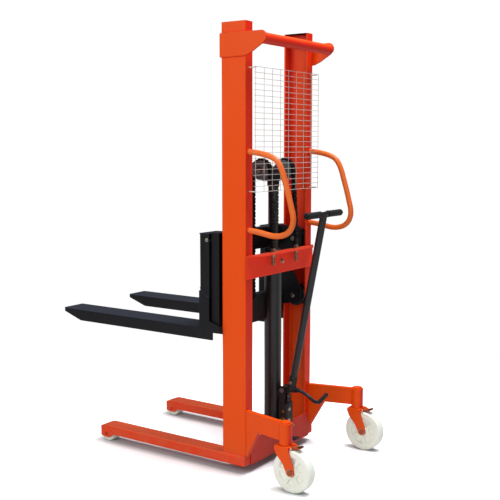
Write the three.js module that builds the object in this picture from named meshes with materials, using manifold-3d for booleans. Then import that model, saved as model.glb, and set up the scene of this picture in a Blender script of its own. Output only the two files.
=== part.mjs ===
// Manual walkie stacker: fixed mast on two outrigger legs, foot/hand pumped hydraulic ram,
// 2:1 chain lift, fork carriage, two rear swivel casters. Millimetres, +Z up.
// Forks point to -Y, the operator stands on the +Y side, +X is the operator's left.
// Origin: on the floor, under the centre of the overall length and width.
import * as THREE from 'three';
import Module from 'manifold-3d';
import { mergeVertices } from 'three/addons/utils/BufferGeometryUtils.js';

const wasm = await Module();
wasm.setup();

// ---------------------------------------------------------------- driving dimensions
// Every y except MAST_Y is measured from the mast's centre plane.
const MAST_Y = 289.5;                  // mast centre plane, measured from the origin
const HALF_MAST = 549 / 2;             // half the outside width over the two uprights
const HALF_DEPTH = 124 / 2;            // half the channel depth
const FLANGE = 52, WEB_T = 6, FLANGE_T = 9;
const MAST_TOP = 1926;
const LEG_OUT = 288, LEG_IN = 206.5, LEG_TOP = 80.6, LEG_BOT = 38.7, LEG_WALL = 5;
const LEG_TIP = -790, LEG_REAR = 64;
const LOAD_R = 37, LOAD_Y = -744;      // load roller radius and axle position
const FORK_OUT = 301, FORK_IN = 169, FORK_TOP = 631.5, FORK_BOT = 578, FORK_PLATE = 6;
const FORK_TIP = -1002, SHANK_FRONT = -169, SHANK_REAR = -112.4, SHANK_TOP = 1042;
const RAM_Y = 23, CYL_R = 38.5, CYL_BORE = 28, ROD_R = 22.5;
const CHAIN_X = 95, CHAIN_T = 16, CHAIN_W = 25, WHEEL_Z = 1310;
const CHAIN_IN_R = 45 - CHAIN_T / 2;   // faces of the chain on the wheel, from its pitch radius
const CHAIN_OUT_R = CHAIN_IN_R + CHAIN_T;
const ANCHOR_Y = 86, STRAND_Z = 1001;  // chain anchor bolts, and where the rear strands start
const BOLT_Z = 906;                    // bolt between the cylinder and the mast crossbeam
const CASTER_X = 318, SWIVEL_Y = 292, TRAIL = 41, CASTER_R = 90;
const ROLLER_R = 52, ROLLER_UP = 985, ROLLER_LOW = 715;
const PIVOT_Y = 88, PIVOT_Z = 322;     // pump lever pivot
const TEE_Y = 282, TEE_Z = 1123;       // centre of the tee grip

// ---------------------------------------------------------------- solids
function solid(geometry) {
  geometry.deleteAttribute('normal');
  geometry.deleteAttribute('uv');
  const merged = mergeVertices(geometry, 1e-3);
  const triVerts = Uint32Array.from(merged.index.array);
  const vertProperties = Float32Array.from(merged.attributes.position.array);
  const build = () => new wasm.Manifold(new wasm.Mesh({ numProp: 3, vertProperties, triVerts }));
  const body = build();
  if (body.volume() >= 0) return body;
  // inside out: reverse every triangle
  for (let i = 0; i < triVerts.length; i += 3) {
    [triVerts[i], triVerts[i + 1]] = [triVerts[i + 1], triVerts[i]];
  }
  return build();
}
function toGeometry(body) {
  const { vertProperties, triVerts } = body.getMesh();
  const geometry = new THREE.BufferGeometry();
  const positions = Float32Array.from(vertProperties);
  geometry.setAttribute('position', new THREE.BufferAttribute(positions, 3));
  geometry.setIndex(new THREE.BufferAttribute(Uint32Array.from(triVerts), 1));
  geometry.computeVertexNormals();
  return geometry;
}
const join = (...parts) => parts.reduce((whole, part) => whole.add(part));
const cut = (body, ...tools) => tools.reduce((rest, tool) => rest.subtract(tool), body);

const vectors = (points) => points.map(([x, y]) => new THREE.Vector2(x, y));
const prism = (shape, depth) => new THREE.ExtrudeGeometry(shape, { depth, bevelEnabled: false });
const outline = (points) => new THREE.Shape(vectors(points));
// outline (y,z) swept between x0 and x1, in either order
const alongX = (points, x0, x1) => solid(prism(outline(points), Math.abs(x1 - x0))
  .rotateX(Math.PI / 2).rotateZ(Math.PI / 2).translate(Math.min(x0, x1), 0, 0));
// shape (x,z) swept from y0 to y1
const alongY = (shape, y0, y1) => solid(prism(shape, y1 - y0)
  .rotateX(Math.PI / 2).translate(0, y1, 0));
// outline (x,y) swept from z0 to z1
const alongZ = (points, z0, z1) => solid(prism(outline(points), z1 - z0).translate(0, 0, z0));
const box = (x0, x1, y0, y1, z0, z1) => solid(
  new THREE.BoxGeometry(Math.abs(x1 - x0), y1 - y0, z1 - z0)
    .translate((x0 + x1) / 2, (y0 + y1) / 2, (z0 + z1) / 2));

// cylinders: radius, both ends, the axis position in the other two directions, segments
const cylinder = (radius, length, segments) => (
  new THREE.CylinderGeometry(radius, radius, length, segments));
const cylX = (radius, x0, x1, y, z, segments = 24) => solid(
  cylinder(radius, Math.abs(x1 - x0), segments)
    .rotateZ(Math.PI / 2).translate((x0 + x1) / 2, y, z));
const cylY = (radius, y0, y1, x, z, segments) => solid(
  cylinder(radius, y1 - y0, segments).translate(x, (y0 + y1) / 2, z));
const cylZ = (radius, z0, z1, x, y, segments = 24) => solid(
  cylinder(radius, z1 - z0, segments)
    .rotateX(Math.PI / 2).translate(x, y, (z0 + z1) / 2));
// straight round bar between two Vector3 points
function bar(start, end, radius) {
  const axis = end.clone().sub(start);
  const middle = start.clone().add(end).divideScalar(2);
  const turn = new THREE.Quaternion()
    .setFromUnitVectors(new THREE.Vector3(0, 1, 0), axis.clone().normalize());
  return solid(cylinder(radius, axis.length(), 20)
    .applyQuaternion(turn).translate(middle.x, middle.y, middle.z));
}
// round bar bent through (x,y,z) points
function bentBar(points, radius, sides, steps) {
  const extrudePath = new THREE.CatmullRomCurve3(
    points.map((point) => new THREE.Vector3(...point)), false, 'centripetal');
  const ring = Array.from({ length: sides }, (_, i) => {
    const angle = (2 * Math.PI * i) / sides;
    return [radius * Math.cos(angle), radius * Math.sin(angle)];
  });
  return solid(new THREE.ExtrudeGeometry(outline(ring),
    { steps, extrudePath, bevelEnabled: false }));
}
// The -X half of an (x, radius) profile, mirrored about x = 0 and turned about the X axis
function turned(half, segments) {
  const profile = [...half, ...half.map(([x, radius]) => [-x, radius]).reverse(), half[0]];
  const points = profile.map(([x, radius]) => new THREE.Vector2(radius, x));
  return solid(new THREE.LatheGeometry(points, segments).rotateZ(-Math.PI / 2));
}
const arcPoints = (y, z, radius, from, to, steps) => (
  Array.from({ length: steps + 1 }, (_, i) => {
    const angle = ((from + ((to - from) * i) / steps) * Math.PI) / 180;
    return [y + radius * Math.cos(angle), z + radius * Math.sin(angle)];
  }));
const mirrorX = (sign, points) => points.map(([x, y]) => [sign * x, y]);
// plan of a leg or fork, open-ended to yBack, with both corners at the tip cut off
const tipPlan = (sign, xIn, xOut, tip, yBack, chamfer) => mirrorX(sign, [
  [xIn, yBack], [xIn, tip + chamfer], [xIn + chamfer, tip],
  [xOut - chamfer, tip], [xOut, tip + chamfer], [xOut, yBack]]);

// ---------------------------------------------------------------- materials
const finish = (look) => () => new THREE.MeshStandardMaterial(look);
const orange = finish({ color: 0xe24e16, roughness: 0.42, metalness: 0.05 });
const black = finish({ color: 0x1d1d22, roughness: 0.45, metalness: 0.1 });
const steel = finish({ color: 0x8d9094, roughness: 0.35, metalness: 0.9 });
const zinc = finish({ color: 0xb9bbb8, roughness: 0.4, metalness: 0.8 });
const chrome = finish({ color: 0xc9cbce, roughness: 0.15, metalness: 1.0 });
const nylon = finish({ color: 0xe9ebe2, roughness: 0.5, metalness: 0.0 });
const chainBlack = finish({ color: 0x26272a, roughness: 0.5, metalness: 0.6 });
const rubber = finish({ color: 0x111113, roughness: 0.75, metalness: 0.0 });
const iron = finish({ color: 0x2a2b2e, roughness: 0.6, metalness: 0.4 });

// ---------------------------------------------------------------- assembly helpers
const root = new THREE.Group();
const truck = new THREE.Group();       // laid out about the mast's centre plane
truck.position.set(0, MAST_Y, 0);
root.add(truck);
const SIDES = [['left', 1], ['right', -1]];
const SIGNS = [1, -1];

function add(name, body, material, at = [0, 0, 0], parent = truck) {
  const node = new THREE.Mesh(toGeometry(body), material());
  node.name = name;
  node.position.set(...at);
  parent.add(node);
}
// one piece per side; build(sign) gets +1 for left and -1 for right
function addPair(name, build, material, [x, y, z] = [0, 0, 0]) {
  for (const [side, sign] of SIDES) {
    add(`${name}_${side}`, build(sign), material, [sign * x, y, z]);
  }
}

// ---------------------------------------------------------------- mast
function mastUpright(sign) {
  const lip = HALF_MAST - FLANGE;
  const web = HALF_MAST - WEB_T;
  const face = HALF_DEPTH - FLANGE_T;   // mean inner face of the tapered flange
  const rear = [[HALF_MAST, HALF_DEPTH], [lip, HALF_DEPTH], [lip, face + 1.5],
    [web - 4, face - 1], [web, face - 5]];
  const front = rear.map(([x, y]) => [x, -y]).reverse();
  return alongZ(mirrorX(sign, [...rear, ...front]), LEG_TOP + 0.4, MAST_TOP);
}
addPair('mast_upright', mastUpright, orange);

// side plate outline (y,z)
const TOP_BRACKET = [[-64, 1781], [67, 1783.5], [99, 1797], [151, 1828], [166, 1843],
  [168, 1858], [162, 1872], [150, 1880], [-64, 1880]];
addPair('top_bracket', (sign) => alongX(TOP_BRACKET,
  sign * (HALF_MAST + 0.3), sign * (HALF_MAST + 8.3)), orange);

const CROSS_TUBE = HALF_MAST - 0.2;    // half length
add('top_cross_tube', cut(cylX(23, -CROSS_TUBE, CROSS_TUBE, 142, 1850, 20),
  cylX(19, -CROSS_TUBE - 1, CROSS_TUBE + 1, 142, 1850, 20)), orange);

// angle section trimmed to a tapered plan, with two anchor holes and a bolt hole
function mastCrossbeam() {
  const front = HALF_DEPTH + 0.4;
  const section = [[front, 853], [front + 6, 853], [front + 6, 948], [112, 948], [112, 955],
    [front, 955]];
  const plan = [[-274, HALF_DEPTH], [274, HALF_DEPTH], [274, 70], [206, 113], [-206, 113],
    [-274, 70]];
  return cut(alongX(section, -274, 274).intersect(alongZ(plan, 840, 960)),
    ...SIGNS.map((sign) => cylZ(8.2, 940, 962, sign * CHAIN_X, ANCHOR_Y, 16)),
    cylY(5.7, HALF_DEPTH - 7, HALF_DEPTH + 13, 0, BOLT_Z, 16));
}
add('mast_crossbeam', mastCrossbeam(), orange);

// guard: welded wire panel on four stand-offs behind the mast
function meshGuard() {
  const half = 268, bottom = 1222, top = 1741, columns = 8, rows = 11, wire = 3;
  const depth = [100 - wire / 2, 100 + wire / 2];
  const bars = [];
  for (let row = 0; row <= rows; row++) {
    const z = bottom + ((top - bottom - wire) * row) / rows;
    bars.push(box(-half, half, ...depth, z, z + wire));
  }
  for (let column = 0; column <= columns; column++) {
    const x = -half + ((2 * half - wire) * column) / columns;
    bars.push(box(x, x + wire, ...depth, bottom, top));
  }
  for (const sign of SIGNS) {
    for (const z of [bottom, top - 7]) {
      bars.push(box(sign * 247, sign * 253, HALF_DEPTH + 0.3, 99.5, z, z + 6));
    }
  }
  return join(...bars);
}
add('mesh_guard', meshGuard(), zinc);

// operator handle centre line (y,z), from its upper to its lower end; the ends start inside
// the upright and are trimmed at its rear face
const HANDLE_X = 250;
const HANDLE_PATH = [[HALF_DEPTH - 12, 1391.5], [96, 1387.5], [130, 1382], [165, 1373],
  [194, 1360], [214, 1338], [230, 1305], [241, 1270], [256, 1222], [270, 1170], [280, 1128],
  [279, 1100], [268, 1074], [246, 1055], [214, 1045], [180, 1044], [145, 1050], [110, 1056],
  [HALF_DEPTH - 12, 1063]];
addPair('handle', (sign) => bentBar(HANDLE_PATH.map(([y, z]) => [sign * HANDLE_X, y, z]), 12, 10, 26)
  .intersect(box(sign * 200, sign * 300, HALF_DEPTH + 0.4, 320, 1000, 1420)), orange);

// ---------------------------------------------------------------- base
add('base_frame', join(box(-206.1, 206.1, -58, 66, 36, 46),
  box(-245, 245, LEG_REAR + 0.5, 70.4, 36, 150)), orange);

// leg of two side walls, a top skin that folds down at the tip, and a rear end plate
function outriggerLeg(sign) {
  const nose = [[-754, LEG_TOP], [-784, 71], [LEG_TIP, 64]];
  const wall = [[LEG_REAR, LEG_BOT], [LEG_REAR, LEG_TOP], ...nose, [LEG_TIP, 39], [-785, 30],
    [-776, 24], [-762, 21], [-734, 21], [-721, 24.5], [-711, 31], [-702, LEG_BOT]];
  const skin = [[LEG_REAR, LEG_TOP - 5], [LEG_REAR, LEG_TOP], ...nose, [LEG_TIP, 46],
    [-785, 46], [-785, 63], [-781, 68], [-752, LEG_TOP - 5]];
  const width = [sign * LEG_IN, sign * LEG_OUT];
  const leg = join(
    alongX(wall, sign * LEG_IN, sign * (LEG_IN + LEG_WALL)),
    alongX(wall, sign * (LEG_OUT - LEG_WALL), sign * LEG_OUT),
    alongX(skin, ...width),
    box(...width, LEG_REAR - 6, LEG_REAR, LEG_BOT, LEG_TOP));
  return cut(leg, cylX(8.4, sign * (LEG_IN - 5), sign * (LEG_OUT + 5), LOAD_Y, LOAD_R, 16))
    .intersect(alongZ(tipPlan(sign, LEG_IN, LEG_OUT, LEG_TIP, 100, 12), 0, 120));
}
addPair('outrigger_leg', outriggerLeg, orange);

const LOAD_AXLE = [(LEG_IN + LEG_OUT) / 2, LOAD_Y, LOAD_R];
const LOAD_AXLE_HALF = (LEG_OUT - LEG_IN) / 2 - 0.8;
addPair('load_roller_axle', () => cylX(8, -LOAD_AXLE_HALF, LOAD_AXLE_HALF, 0, 0, 16),
  steel, LOAD_AXLE);
addPair('load_roller', () => turned([[-31, 8.4], [-31, 32], [-28, LOAD_R]], 20),
  nylon, LOAD_AXLE);

// arm from the upright's rear flange out to the swivel housing, sloped underneath
function casterBracket(sign) {
  const armTop = 285, armBottom = 206, front = HALF_DEPTH + 0.4;
  const plan = mirrorX(sign, [[HALF_MAST, front], [HALF_MAST - 24, front],
    [CASTER_X - 14, SWIVEL_Y - 8], [CASTER_X + 10, SWIVEL_Y - 8]]);
  const profile = [[HALF_DEPTH, LEG_TOP + 0.6], [HALF_DEPTH + 8, LEG_TOP + 0.6],
    [138, armBottom], [SWIVEL_Y, armBottom], [SWIVEL_Y, armTop], [HALF_DEPTH, armTop]];
  const arm = alongZ(plan, 0, 400).intersect(alongX(profile, sign * 200, sign * 400));
  return cut(join(arm, cylZ(27, 195, armTop, sign * CASTER_X, SWIVEL_Y)),
    cylZ(15, 150, 320, sign * CASTER_X, SWIVEL_Y, 20));
}
addPair('caster_bracket', casterBracket, orange);

// ---------------------------------------------------------------- casters
// built about the point on the floor under the swivel axis
const PLATE_TOP = 193.4, BRAKE_Y = 40, BRAKE_Z = 188;
function casterFork() {
  const cheek = [[-36, PLATE_TOP], [30, PLATE_TOP], [33, 180], [41, 150], [57, 112],
    ...arcPoints(TRAIL, CASTER_R, 18, 30, -150, 8), [6, 122], [-27, 158], [-36, 180]];
  const lug = [[22, 184.5], [22, PLATE_TOP], [42, PLATE_TOP], [46, 188], [42, 182.5],
    [32, 182.5]];
  return cut(join(
    box(-34, 34, -36, 30, 184, PLATE_TOP),
    alongX(cheek, 28, 34),
    alongX(cheek, -34, -28),
    cylZ(14.4, 190, 292, 0, 0, 16),
    cylZ(21, 285.5, 292, 0, 0, 16),
    ...SIGNS.map((sign) => alongX(lug, sign * 19.5, sign * 24.5)),
    cylX(2.8, -24, 24, BRAKE_Y, BRAKE_Z, 10)),
  cylX(8, -50, 50, TRAIL, CASTER_R, 16));
}
const casterAxle = () => join(cylX(7.5, -38, 38, 0, 0, 16),
  cylX(12, 34.4, 41, 0, 0, 6), cylX(12, -41, -34.4, 0, 0, 6));
const casterWheel = () => turned([[-27, 8.2], [-27, 22], [-9, 25], [-9, 62], [-25, 68],
  [-25, 85], [-19, CASTER_R]], 24);
function casterBrake() {
  const tread = [[38, 184.2], [62, 186.5], [80, 192], [80, 197], [62, 192.5], [38, 192]];
  return cut(join(cylX(6, -18.5, 18.5, BRAKE_Y, BRAKE_Z, 12), alongX(tread, -16, 16)),
    cylX(3.2, -30, 30, BRAKE_Y, BRAKE_Z, 10));
}
for (const [side, sign] of SIDES) {
  const caster = new THREE.Group();
  caster.position.set(sign * CASTER_X, SWIVEL_Y, 0);
  truck.add(caster);
  const axle = [0, TRAIL, CASTER_R];
  add(`caster_fork_${side}`, casterFork(), orange, [0, 0, 0], caster);
  add(`caster_axle_${side}`, casterAxle(), steel, axle, caster);
  add(`caster_wheel_${side}`, casterWheel(), nylon, axle, caster);
  add(`caster_brake_${side}`, casterBrake(), black, [0, 0, 0], caster);
}

// ---------------------------------------------------------------- hydraulic ram
const CYL_BASE = 46.4, CYL_TOP = 930;
add('hydraulic_cylinder', cut(join(
  cylZ(CYL_R, CYL_BASE, CYL_TOP, 0, RAM_Y),
  cylZ(40.6, CYL_BASE, 62, 0, RAM_Y),
  cylY(5.2, 59, 81, 0, BOLT_Z, 12),
  cylY(10, 69, 77, 0, BOLT_Z, 6)),
cylZ(CYL_BORE, 66, CYL_TOP + 10, 0, RAM_Y, 20)), black);
add('cylinder_gland', cut(cylZ(38.9, CYL_TOP + 0.4, 958, 0, RAM_Y, 28),
  cylZ(ROD_R + 0.6, 900, 1000, 0, RAM_Y)), iron);
add('piston_rod', join(cylZ(ROD_R, 360, 1237.6, 0, RAM_Y, 20),
  cylZ(CYL_BORE - 0.8, 340, 382, 0, RAM_Y, 20)), chrome);

// ---------------------------------------------------------------- chain head
add('chain_yoke', cut(join(
  box(-70, 70, RAM_Y - 17, RAM_Y + 17, 1262, 1300),
  cylX(16, -70, 70, RAM_Y, WHEEL_Z, 28),
  cylZ(27, 1238, 1266, 0, RAM_Y)),
cylX(12.4, -80, 80, RAM_Y, WHEEL_Z, 20)), black);
add('chain_wheel_shaft', cylX(12, -115, 115, 0, 0, 20), steel, [0, RAM_Y, WHEEL_Z]);
addPair('chain_wheel', () => turned([[-16.5, 12.5], [-16.5, 41.5], [-13.3, 41.5],
  [-13.3, CHAIN_IN_R - 0.6]], 28), steel, [CHAIN_X, RAM_Y, WHEEL_Z]);

const chainSpan = (sign) => [sign * (CHAIN_X - CHAIN_W / 2), sign * (CHAIN_X + CHAIN_W / 2)];
const STRAND_TOP = WHEEL_Z - 0.3;
addPair('lift_chain_arc', (sign) => alongX([
  ...arcPoints(RAM_Y, WHEEL_Z, CHAIN_OUT_R, 0, 180, 14),
  ...arcPoints(RAM_Y, WHEEL_Z, CHAIN_IN_R, 180, 0, 14)], ...chainSpan(sign)), chainBlack);
addPair('lift_chain_rear', (sign) => alongX([
  [ANCHOR_Y - CHAIN_T / 2, STRAND_Z], [ANCHOR_Y + CHAIN_T / 2, STRAND_Z],
  [RAM_Y + CHAIN_OUT_R, STRAND_TOP], [RAM_Y + CHAIN_IN_R, STRAND_TOP]],
...chainSpan(sign)), chainBlack);
addPair('lift_chain_front', (sign) => box(...chainSpan(sign),
  RAM_Y - CHAIN_OUT_R, RAM_Y - CHAIN_IN_R, 770, STRAND_TOP), chainBlack);

// stud with a block on top and a hex nut on each side of the crossbeam
function chainAnchor(sign) {
  const x = sign * CHAIN_X;
  return join(
    cylZ(7.6, 898, 976, x, ANCHOR_Y, 16),
    box(x - 10, x + 10, ANCHOR_Y - 8, ANCHOR_Y + 8, 972, STRAND_Z - 0.3),
    cylZ(11, 932, 947.6, x, ANCHOR_Y, 6),
    cylZ(11, 955.4, 969, x, ANCHOR_Y, 6));
}
addPair('chain_anchor', chainAnchor, zinc);

// ---------------------------------------------------------------- carriage
function forkCarriage() {
  const half = 285, top = 1045, bottom = 626, face = -112;
  const front = outline([[-half, top], [-half, bottom], [-203, bottom], [-203, 613],
    [203, 613], [203, bottom], [half, bottom], [half, top]]);
  front.holes.push(new THREE.Path(vectors([[-200, 740], [200, 740], [200, 949], [-200, 949]])));
  // (y,z) outlines of the plate carrying the rollers and of the chain lug
  const cheek = [[-106, 640], [-106, top], [30, top], [45, 1030], [45, 930], [-6, 905],
    [-6, 840], [34, 767], [48, 730], [43, 700], [28, 688], [-60, 668]];
  const lug = [[-78, 732], [-8, 740], [-8, 768], [-36, 768], [-78, 740]];
  return join(
    alongY(front, face, -100),
    ...SIGNS.flatMap((sign) => [
      box(sign * (half - 8), sign * half, face, -70, bottom, top),
      alongX(cheek, sign * 205, sign * 217),
      ...[ROLLER_UP, ROLLER_LOW].map((z) => cylX(14, sign * 216, sign * 261, 0, z, 20)),
      alongX(lug, sign * (CHAIN_X - 6), sign * (CHAIN_X + 6)),
    ]),
    box(-half, half, face, -70, top - 8, top),
    box(-217, 217, -80, -72, 949, top),
    box(-203, 203, face, -72, 732, 740),
    box(-203, 203, -80, -72, 613, 740));
}
add('fork_carriage', forkCarriage(), black);

for (const [where, z] of [['upper', ROLLER_UP], ['lower', ROLLER_LOW]]) {
  addPair(`mast_roller_${where}`, () => turned([[-15, 14.5], [-15, 48], [-12, ROLLER_R]], 20),
    steel, [243.5, 0, z]);
}

// ---------------------------------------------------------------- forks
const FORK_BOLT_Y = -121, FORK_BOLT_Z = 1014;
// folded plate arm, open underneath, with its shank; outlines are (y,z)
function fork(sign) {
  const under = [[FORK_TIP, 617], [-888, FORK_BOT]];
  const wall = [[FORK_TIP, FORK_TOP], ...under, [-94.5, FORK_BOT], [-94.5, 604],
    [SHANK_REAR, 604], [SHANK_REAR, 766], [-122, 766], [SHANK_FRONT, 805],
    [SHANK_FRONT, FORK_TOP]];
  const tab = [[SHANK_REAR - 6, 600], [-94.5, 600], [-94.5, 611], [-58, 611], [-58, 640],
    [SHANK_REAR - 6, 660]];
  const tipPlate = [[FORK_TIP, FORK_TOP - 1], ...under, [-877, FORK_BOT], [-993.5, 621],
    [-993.5, FORK_TOP - 1]];
  const width = [sign * FORK_IN, sign * FORK_OUT];
  const innerWall = [sign * FORK_IN, sign * (FORK_IN + FORK_PLATE)];
  const outerWall = [sign * (FORK_OUT - FORK_PLATE), sign * FORK_OUT];
  // the shank channel sits 3 mm inside the arm's walls
  const shankIn = FORK_IN + 3, shankOut = FORK_OUT - 3;
  const shankSide = [SHANK_FRONT + 5, SHANK_REAR, 740, SHANK_TOP - 2];
  const body = join(
    alongX(wall, ...innerWall),
    alongX(wall, ...outerWall),
    alongX(tab, ...outerWall),
    box(...width, FORK_TIP, SHANK_FRONT + 8, FORK_TOP - 8, FORK_TOP),
    box(...width, SHANK_FRONT, SHANK_FRONT + 8, FORK_TOP - 8, 805),
    alongX(tipPlate, ...width),
    box(sign * shankIn, sign * shankOut, SHANK_FRONT + 5, SHANK_FRONT + 13, 780, SHANK_TOP - 2),
    box(sign * shankIn, sign * (shankIn + FORK_PLATE), ...shankSide),
    box(sign * (shankOut - FORK_PLATE), sign * shankOut, ...shankSide),
    box(sign * (FORK_IN + 1), sign * (FORK_OUT - 1), SHANK_FRONT + 2, SHANK_REAR,
      SHANK_TOP - 4, SHANK_TOP));
  return cut(
    body.intersect(alongZ(tipPlan(sign, FORK_IN, FORK_OUT, FORK_TIP, 0, 9), 500, 1100)),
    cylX(5.4, sign * 280, sign * 310, FORK_BOLT_Y, FORK_BOLT_Z, 14));
}
addPair('fork', fork, black);

// bolt through the shank's outer side, with a hex at each end
function forkBolt(sign) {
  const length = (radius, x0, x1, segments) => (
    cylX(radius, sign * x0, sign * x1, FORK_BOLT_Y, FORK_BOLT_Z, segments));
  return join(length(5, 288, 300, 12), length(9.5, FORK_OUT - 2.7, FORK_OUT + 3.3, 6),
    length(9.5, 285, 291.6, 6));
}
addPair('fork_bolt', forkBolt, zinc);

// ---------------------------------------------------------------- pump
const PLUNGER_Y = 108;
const RELEASE_Y = 101, RELEASE_Z = 106;  // release pedal pivot
function pumpBody() {
  const ear = [[74, 250], [101, 250], [101, 334], [95, 340], [80, 340], [74, 334]];
  return cut(join(
    box(-26, 26, 70.8, 118, 118, 262),
    ...SIGNS.flatMap((sign) => [
      alongX(ear, sign * 17.5, sign * 25),
      box(sign * 10.5, sign * 16.5, 91, 111, 97, 119),
    ]),
    cylX(4, -16, 16, RELEASE_Y, RELEASE_Z, 14),
    cylZ(15, 255, 272, 0, PLUNGER_Y, 20)),
  cylX(8.4, -40, 40, PIVOT_Y, PIVOT_Z, 20),
  cylZ(9.6, 200, 300, 0, PLUNGER_Y, 20));
}
add('pump_body', pumpBody(), iron);
add('lever_pivot_pin', join(cylX(8, -27, 27, PIVOT_Y, PIVOT_Z, 20),
  cylX(11, 25.4, 30, PIVOT_Y, PIVOT_Z, 20), cylX(11, -30, -25.4, PIVOT_Y, PIVOT_Z, 20)), steel);
add('pump_plunger', cylZ(9, 222, 305.6, 0, PLUNGER_Y, 20), chrome);

// centre line (x,y,z) from the pump body to the cylinder
const OIL_PATH = [[26.6, 96, 190], [34, 96, 190], [46, 95, 190], [58, 88, 186], [63, 74, 174],
  [63, 54, 152], [60, 38, 130], [55, 28, 115], [49, RAM_Y, 110], [39.5, RAM_Y, 110]];
add('oil_pipe', bentBar(OIL_PATH, 5, 6, 16), steel);

// pivot boss and roller, socket, long shaft and tee bar
function pumpLever() {
  const foot = new THREE.Vector3(0, 124, 328);
  const tee = new THREE.Vector3(0, TEE_Y, TEE_Z);
  const axis = tee.clone().sub(foot).normalize();
  const along = (distance) => foot.clone().addScaledVector(axis, distance);
  return cut(join(
    cylX(16, -15, 15, PIVOT_Y, PIVOT_Z),
    box(-15, 15, PIVOT_Y, 150, PIVOT_Z - 6, PIVOT_Z + 13),
    cylX(10, -15, 15, PIVOT_Y + 24, PIVOT_Z - 6, 16),
    bar(along(-6), along(58), 18.5),
    bar(foot, tee, 16),
    cylX(11, -147, 147, TEE_Y, TEE_Z, 18)),
  cylX(8.5, -30, 30, PIVOT_Y, PIVOT_Z, 20));
}
add('pump_lever', pumpLever(), black);
addPair('tee_grip', (sign) => cut(cylX(15, sign * 30, sign * 152, TEE_Y, TEE_Z, 20),
  cylX(11.4, sign * 20, sign * 147.5, TEE_Y, TEE_Z, 18)), rubber);

// bent bar (x,y,z) with a ball at its free end and a plate at the lever
const PEDAL_PATH = [[0, 152, 325.6], [0, 170, 325], [0, 195, 317], [0, 222, 302],
  [-5, 241, 287], [-26, 249, 281], [-64, 247, 286], [-108, 241, 293]];
add('foot_pedal', join(bentBar(PEDAL_PATH, 7.5, 10, 18),
  solid(new THREE.SphereGeometry(9.5, 14, 8).translate(-110, 241, 293.4)),
  box(-14, 14, 150.4, 156, 316.3, 335)), black);

const RELEASE_ARM = [[100, 100], [100, 111], [142, 108], [158, 106], [158, 100], [142, 100]];
add('release_pedal', cut(join(cylX(8.5, -9.8, 9.8, RELEASE_Y, RELEASE_Z, 18),
  alongX(RELEASE_ARM, -6, 6), box(-22, 22, 134, 158, 99.5, 105)),
cylX(4.4, -30, 30, RELEASE_Y, RELEASE_Z, 14)), black);

export default root;
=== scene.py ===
# A hand-pumped hydraulic stacker: a mast on two outrigger legs, a fork carriage lifted by
# two leaf chains over sheaves on the ram, a pump with a tee-bar lever and two casters.
# It stands on z = 0, centred on x = 0. Left is +x, the forks reach forward along -y and the
# handles are at the rear, +y. Sizes are millimetres, with the mast's centre plane at y = 0.
import math
from functools import cached_property

import bmesh
import bpy
import numpy as np
from mathutils import Matrix, Vector, noise as mnoise


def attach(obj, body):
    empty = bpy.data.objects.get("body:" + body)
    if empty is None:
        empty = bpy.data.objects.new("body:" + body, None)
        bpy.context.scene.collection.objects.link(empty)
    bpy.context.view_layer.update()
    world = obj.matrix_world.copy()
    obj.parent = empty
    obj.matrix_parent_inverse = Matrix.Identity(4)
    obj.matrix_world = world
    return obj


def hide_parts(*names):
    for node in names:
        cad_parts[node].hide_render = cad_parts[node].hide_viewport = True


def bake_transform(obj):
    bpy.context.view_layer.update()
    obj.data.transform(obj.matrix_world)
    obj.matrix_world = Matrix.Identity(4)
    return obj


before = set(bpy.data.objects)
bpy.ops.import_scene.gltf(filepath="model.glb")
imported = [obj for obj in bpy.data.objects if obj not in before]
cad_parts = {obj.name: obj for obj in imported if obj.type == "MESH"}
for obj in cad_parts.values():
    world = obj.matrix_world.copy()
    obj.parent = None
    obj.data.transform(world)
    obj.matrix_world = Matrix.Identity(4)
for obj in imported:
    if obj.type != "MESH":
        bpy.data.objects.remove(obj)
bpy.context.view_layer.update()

SCENE = bpy.context.scene

# ---------------------------------------------------------------- driving dimensions
MAST_X, MAST_REAR, MAST_TOP = 274.5, 62.0, 1926.0       # outer side, rear face, top of uprights
LEG_OUT, LEG_IN, LEG_TOP, LEG_BOT = 288.0, 206.5, 80.6, 38.7
LEG_TIP, LEG_REAR = -790.0, 64.0
LOAD_R, LOAD_Y = 37.0, -744.0                           # load rollers in the leg tips
FORK_OUT, FORK_IN, FORK_TOP, FORK_BOT = 301.0, 169.0, 631.5, 578.0
FORK_TIP, SHANK_FRONT, SHANK_REAR, SHANK_TOP = -1002.0, -169.0, -112.4, 1042.0
RAM_Y = 23.0
CYLINDER_R, ROD_R = 38.5, 22.5
CHAIN_X, PITCH_R, CHAIN_T, WHEEL_Z = 95.0, 45.0, 16.0, 1310.0
CHAIN_Y = RAM_Y - PITCH_R                               # front strand of the chain
ANCHOR_Y, STRAND_Z = 86.0, 1001.0                       # fixed end of the rear strand
CASTER_X, SWIVEL_Y, TRAIL, CASTER_R = 318.0, 292.0, 41.0, 90.0
AXLE_Y = SWIVEL_Y + TRAIL
ROLLER_R, ROLLER_UP, ROLLER_LOW = 52.0, 985.0, 715.0    # mast rollers
PIVOT_Y, PIVOT_Z = 88.0, 322.0                          # pump lever pivot
TEE_Y, TEE_Z = 282.0, 1123.0                            # tee bar
MAST_Y = 289.5                                          # the mast's place in the frame
TO_FRAME = Matrix.Translation((0.0, MAST_Y / 1000.0, 0.0)) @ Matrix.Scale(0.001, 4)
SIDES = (("left", 1.0), ("right", -1.0))
ENDS = (1, -1)


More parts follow.
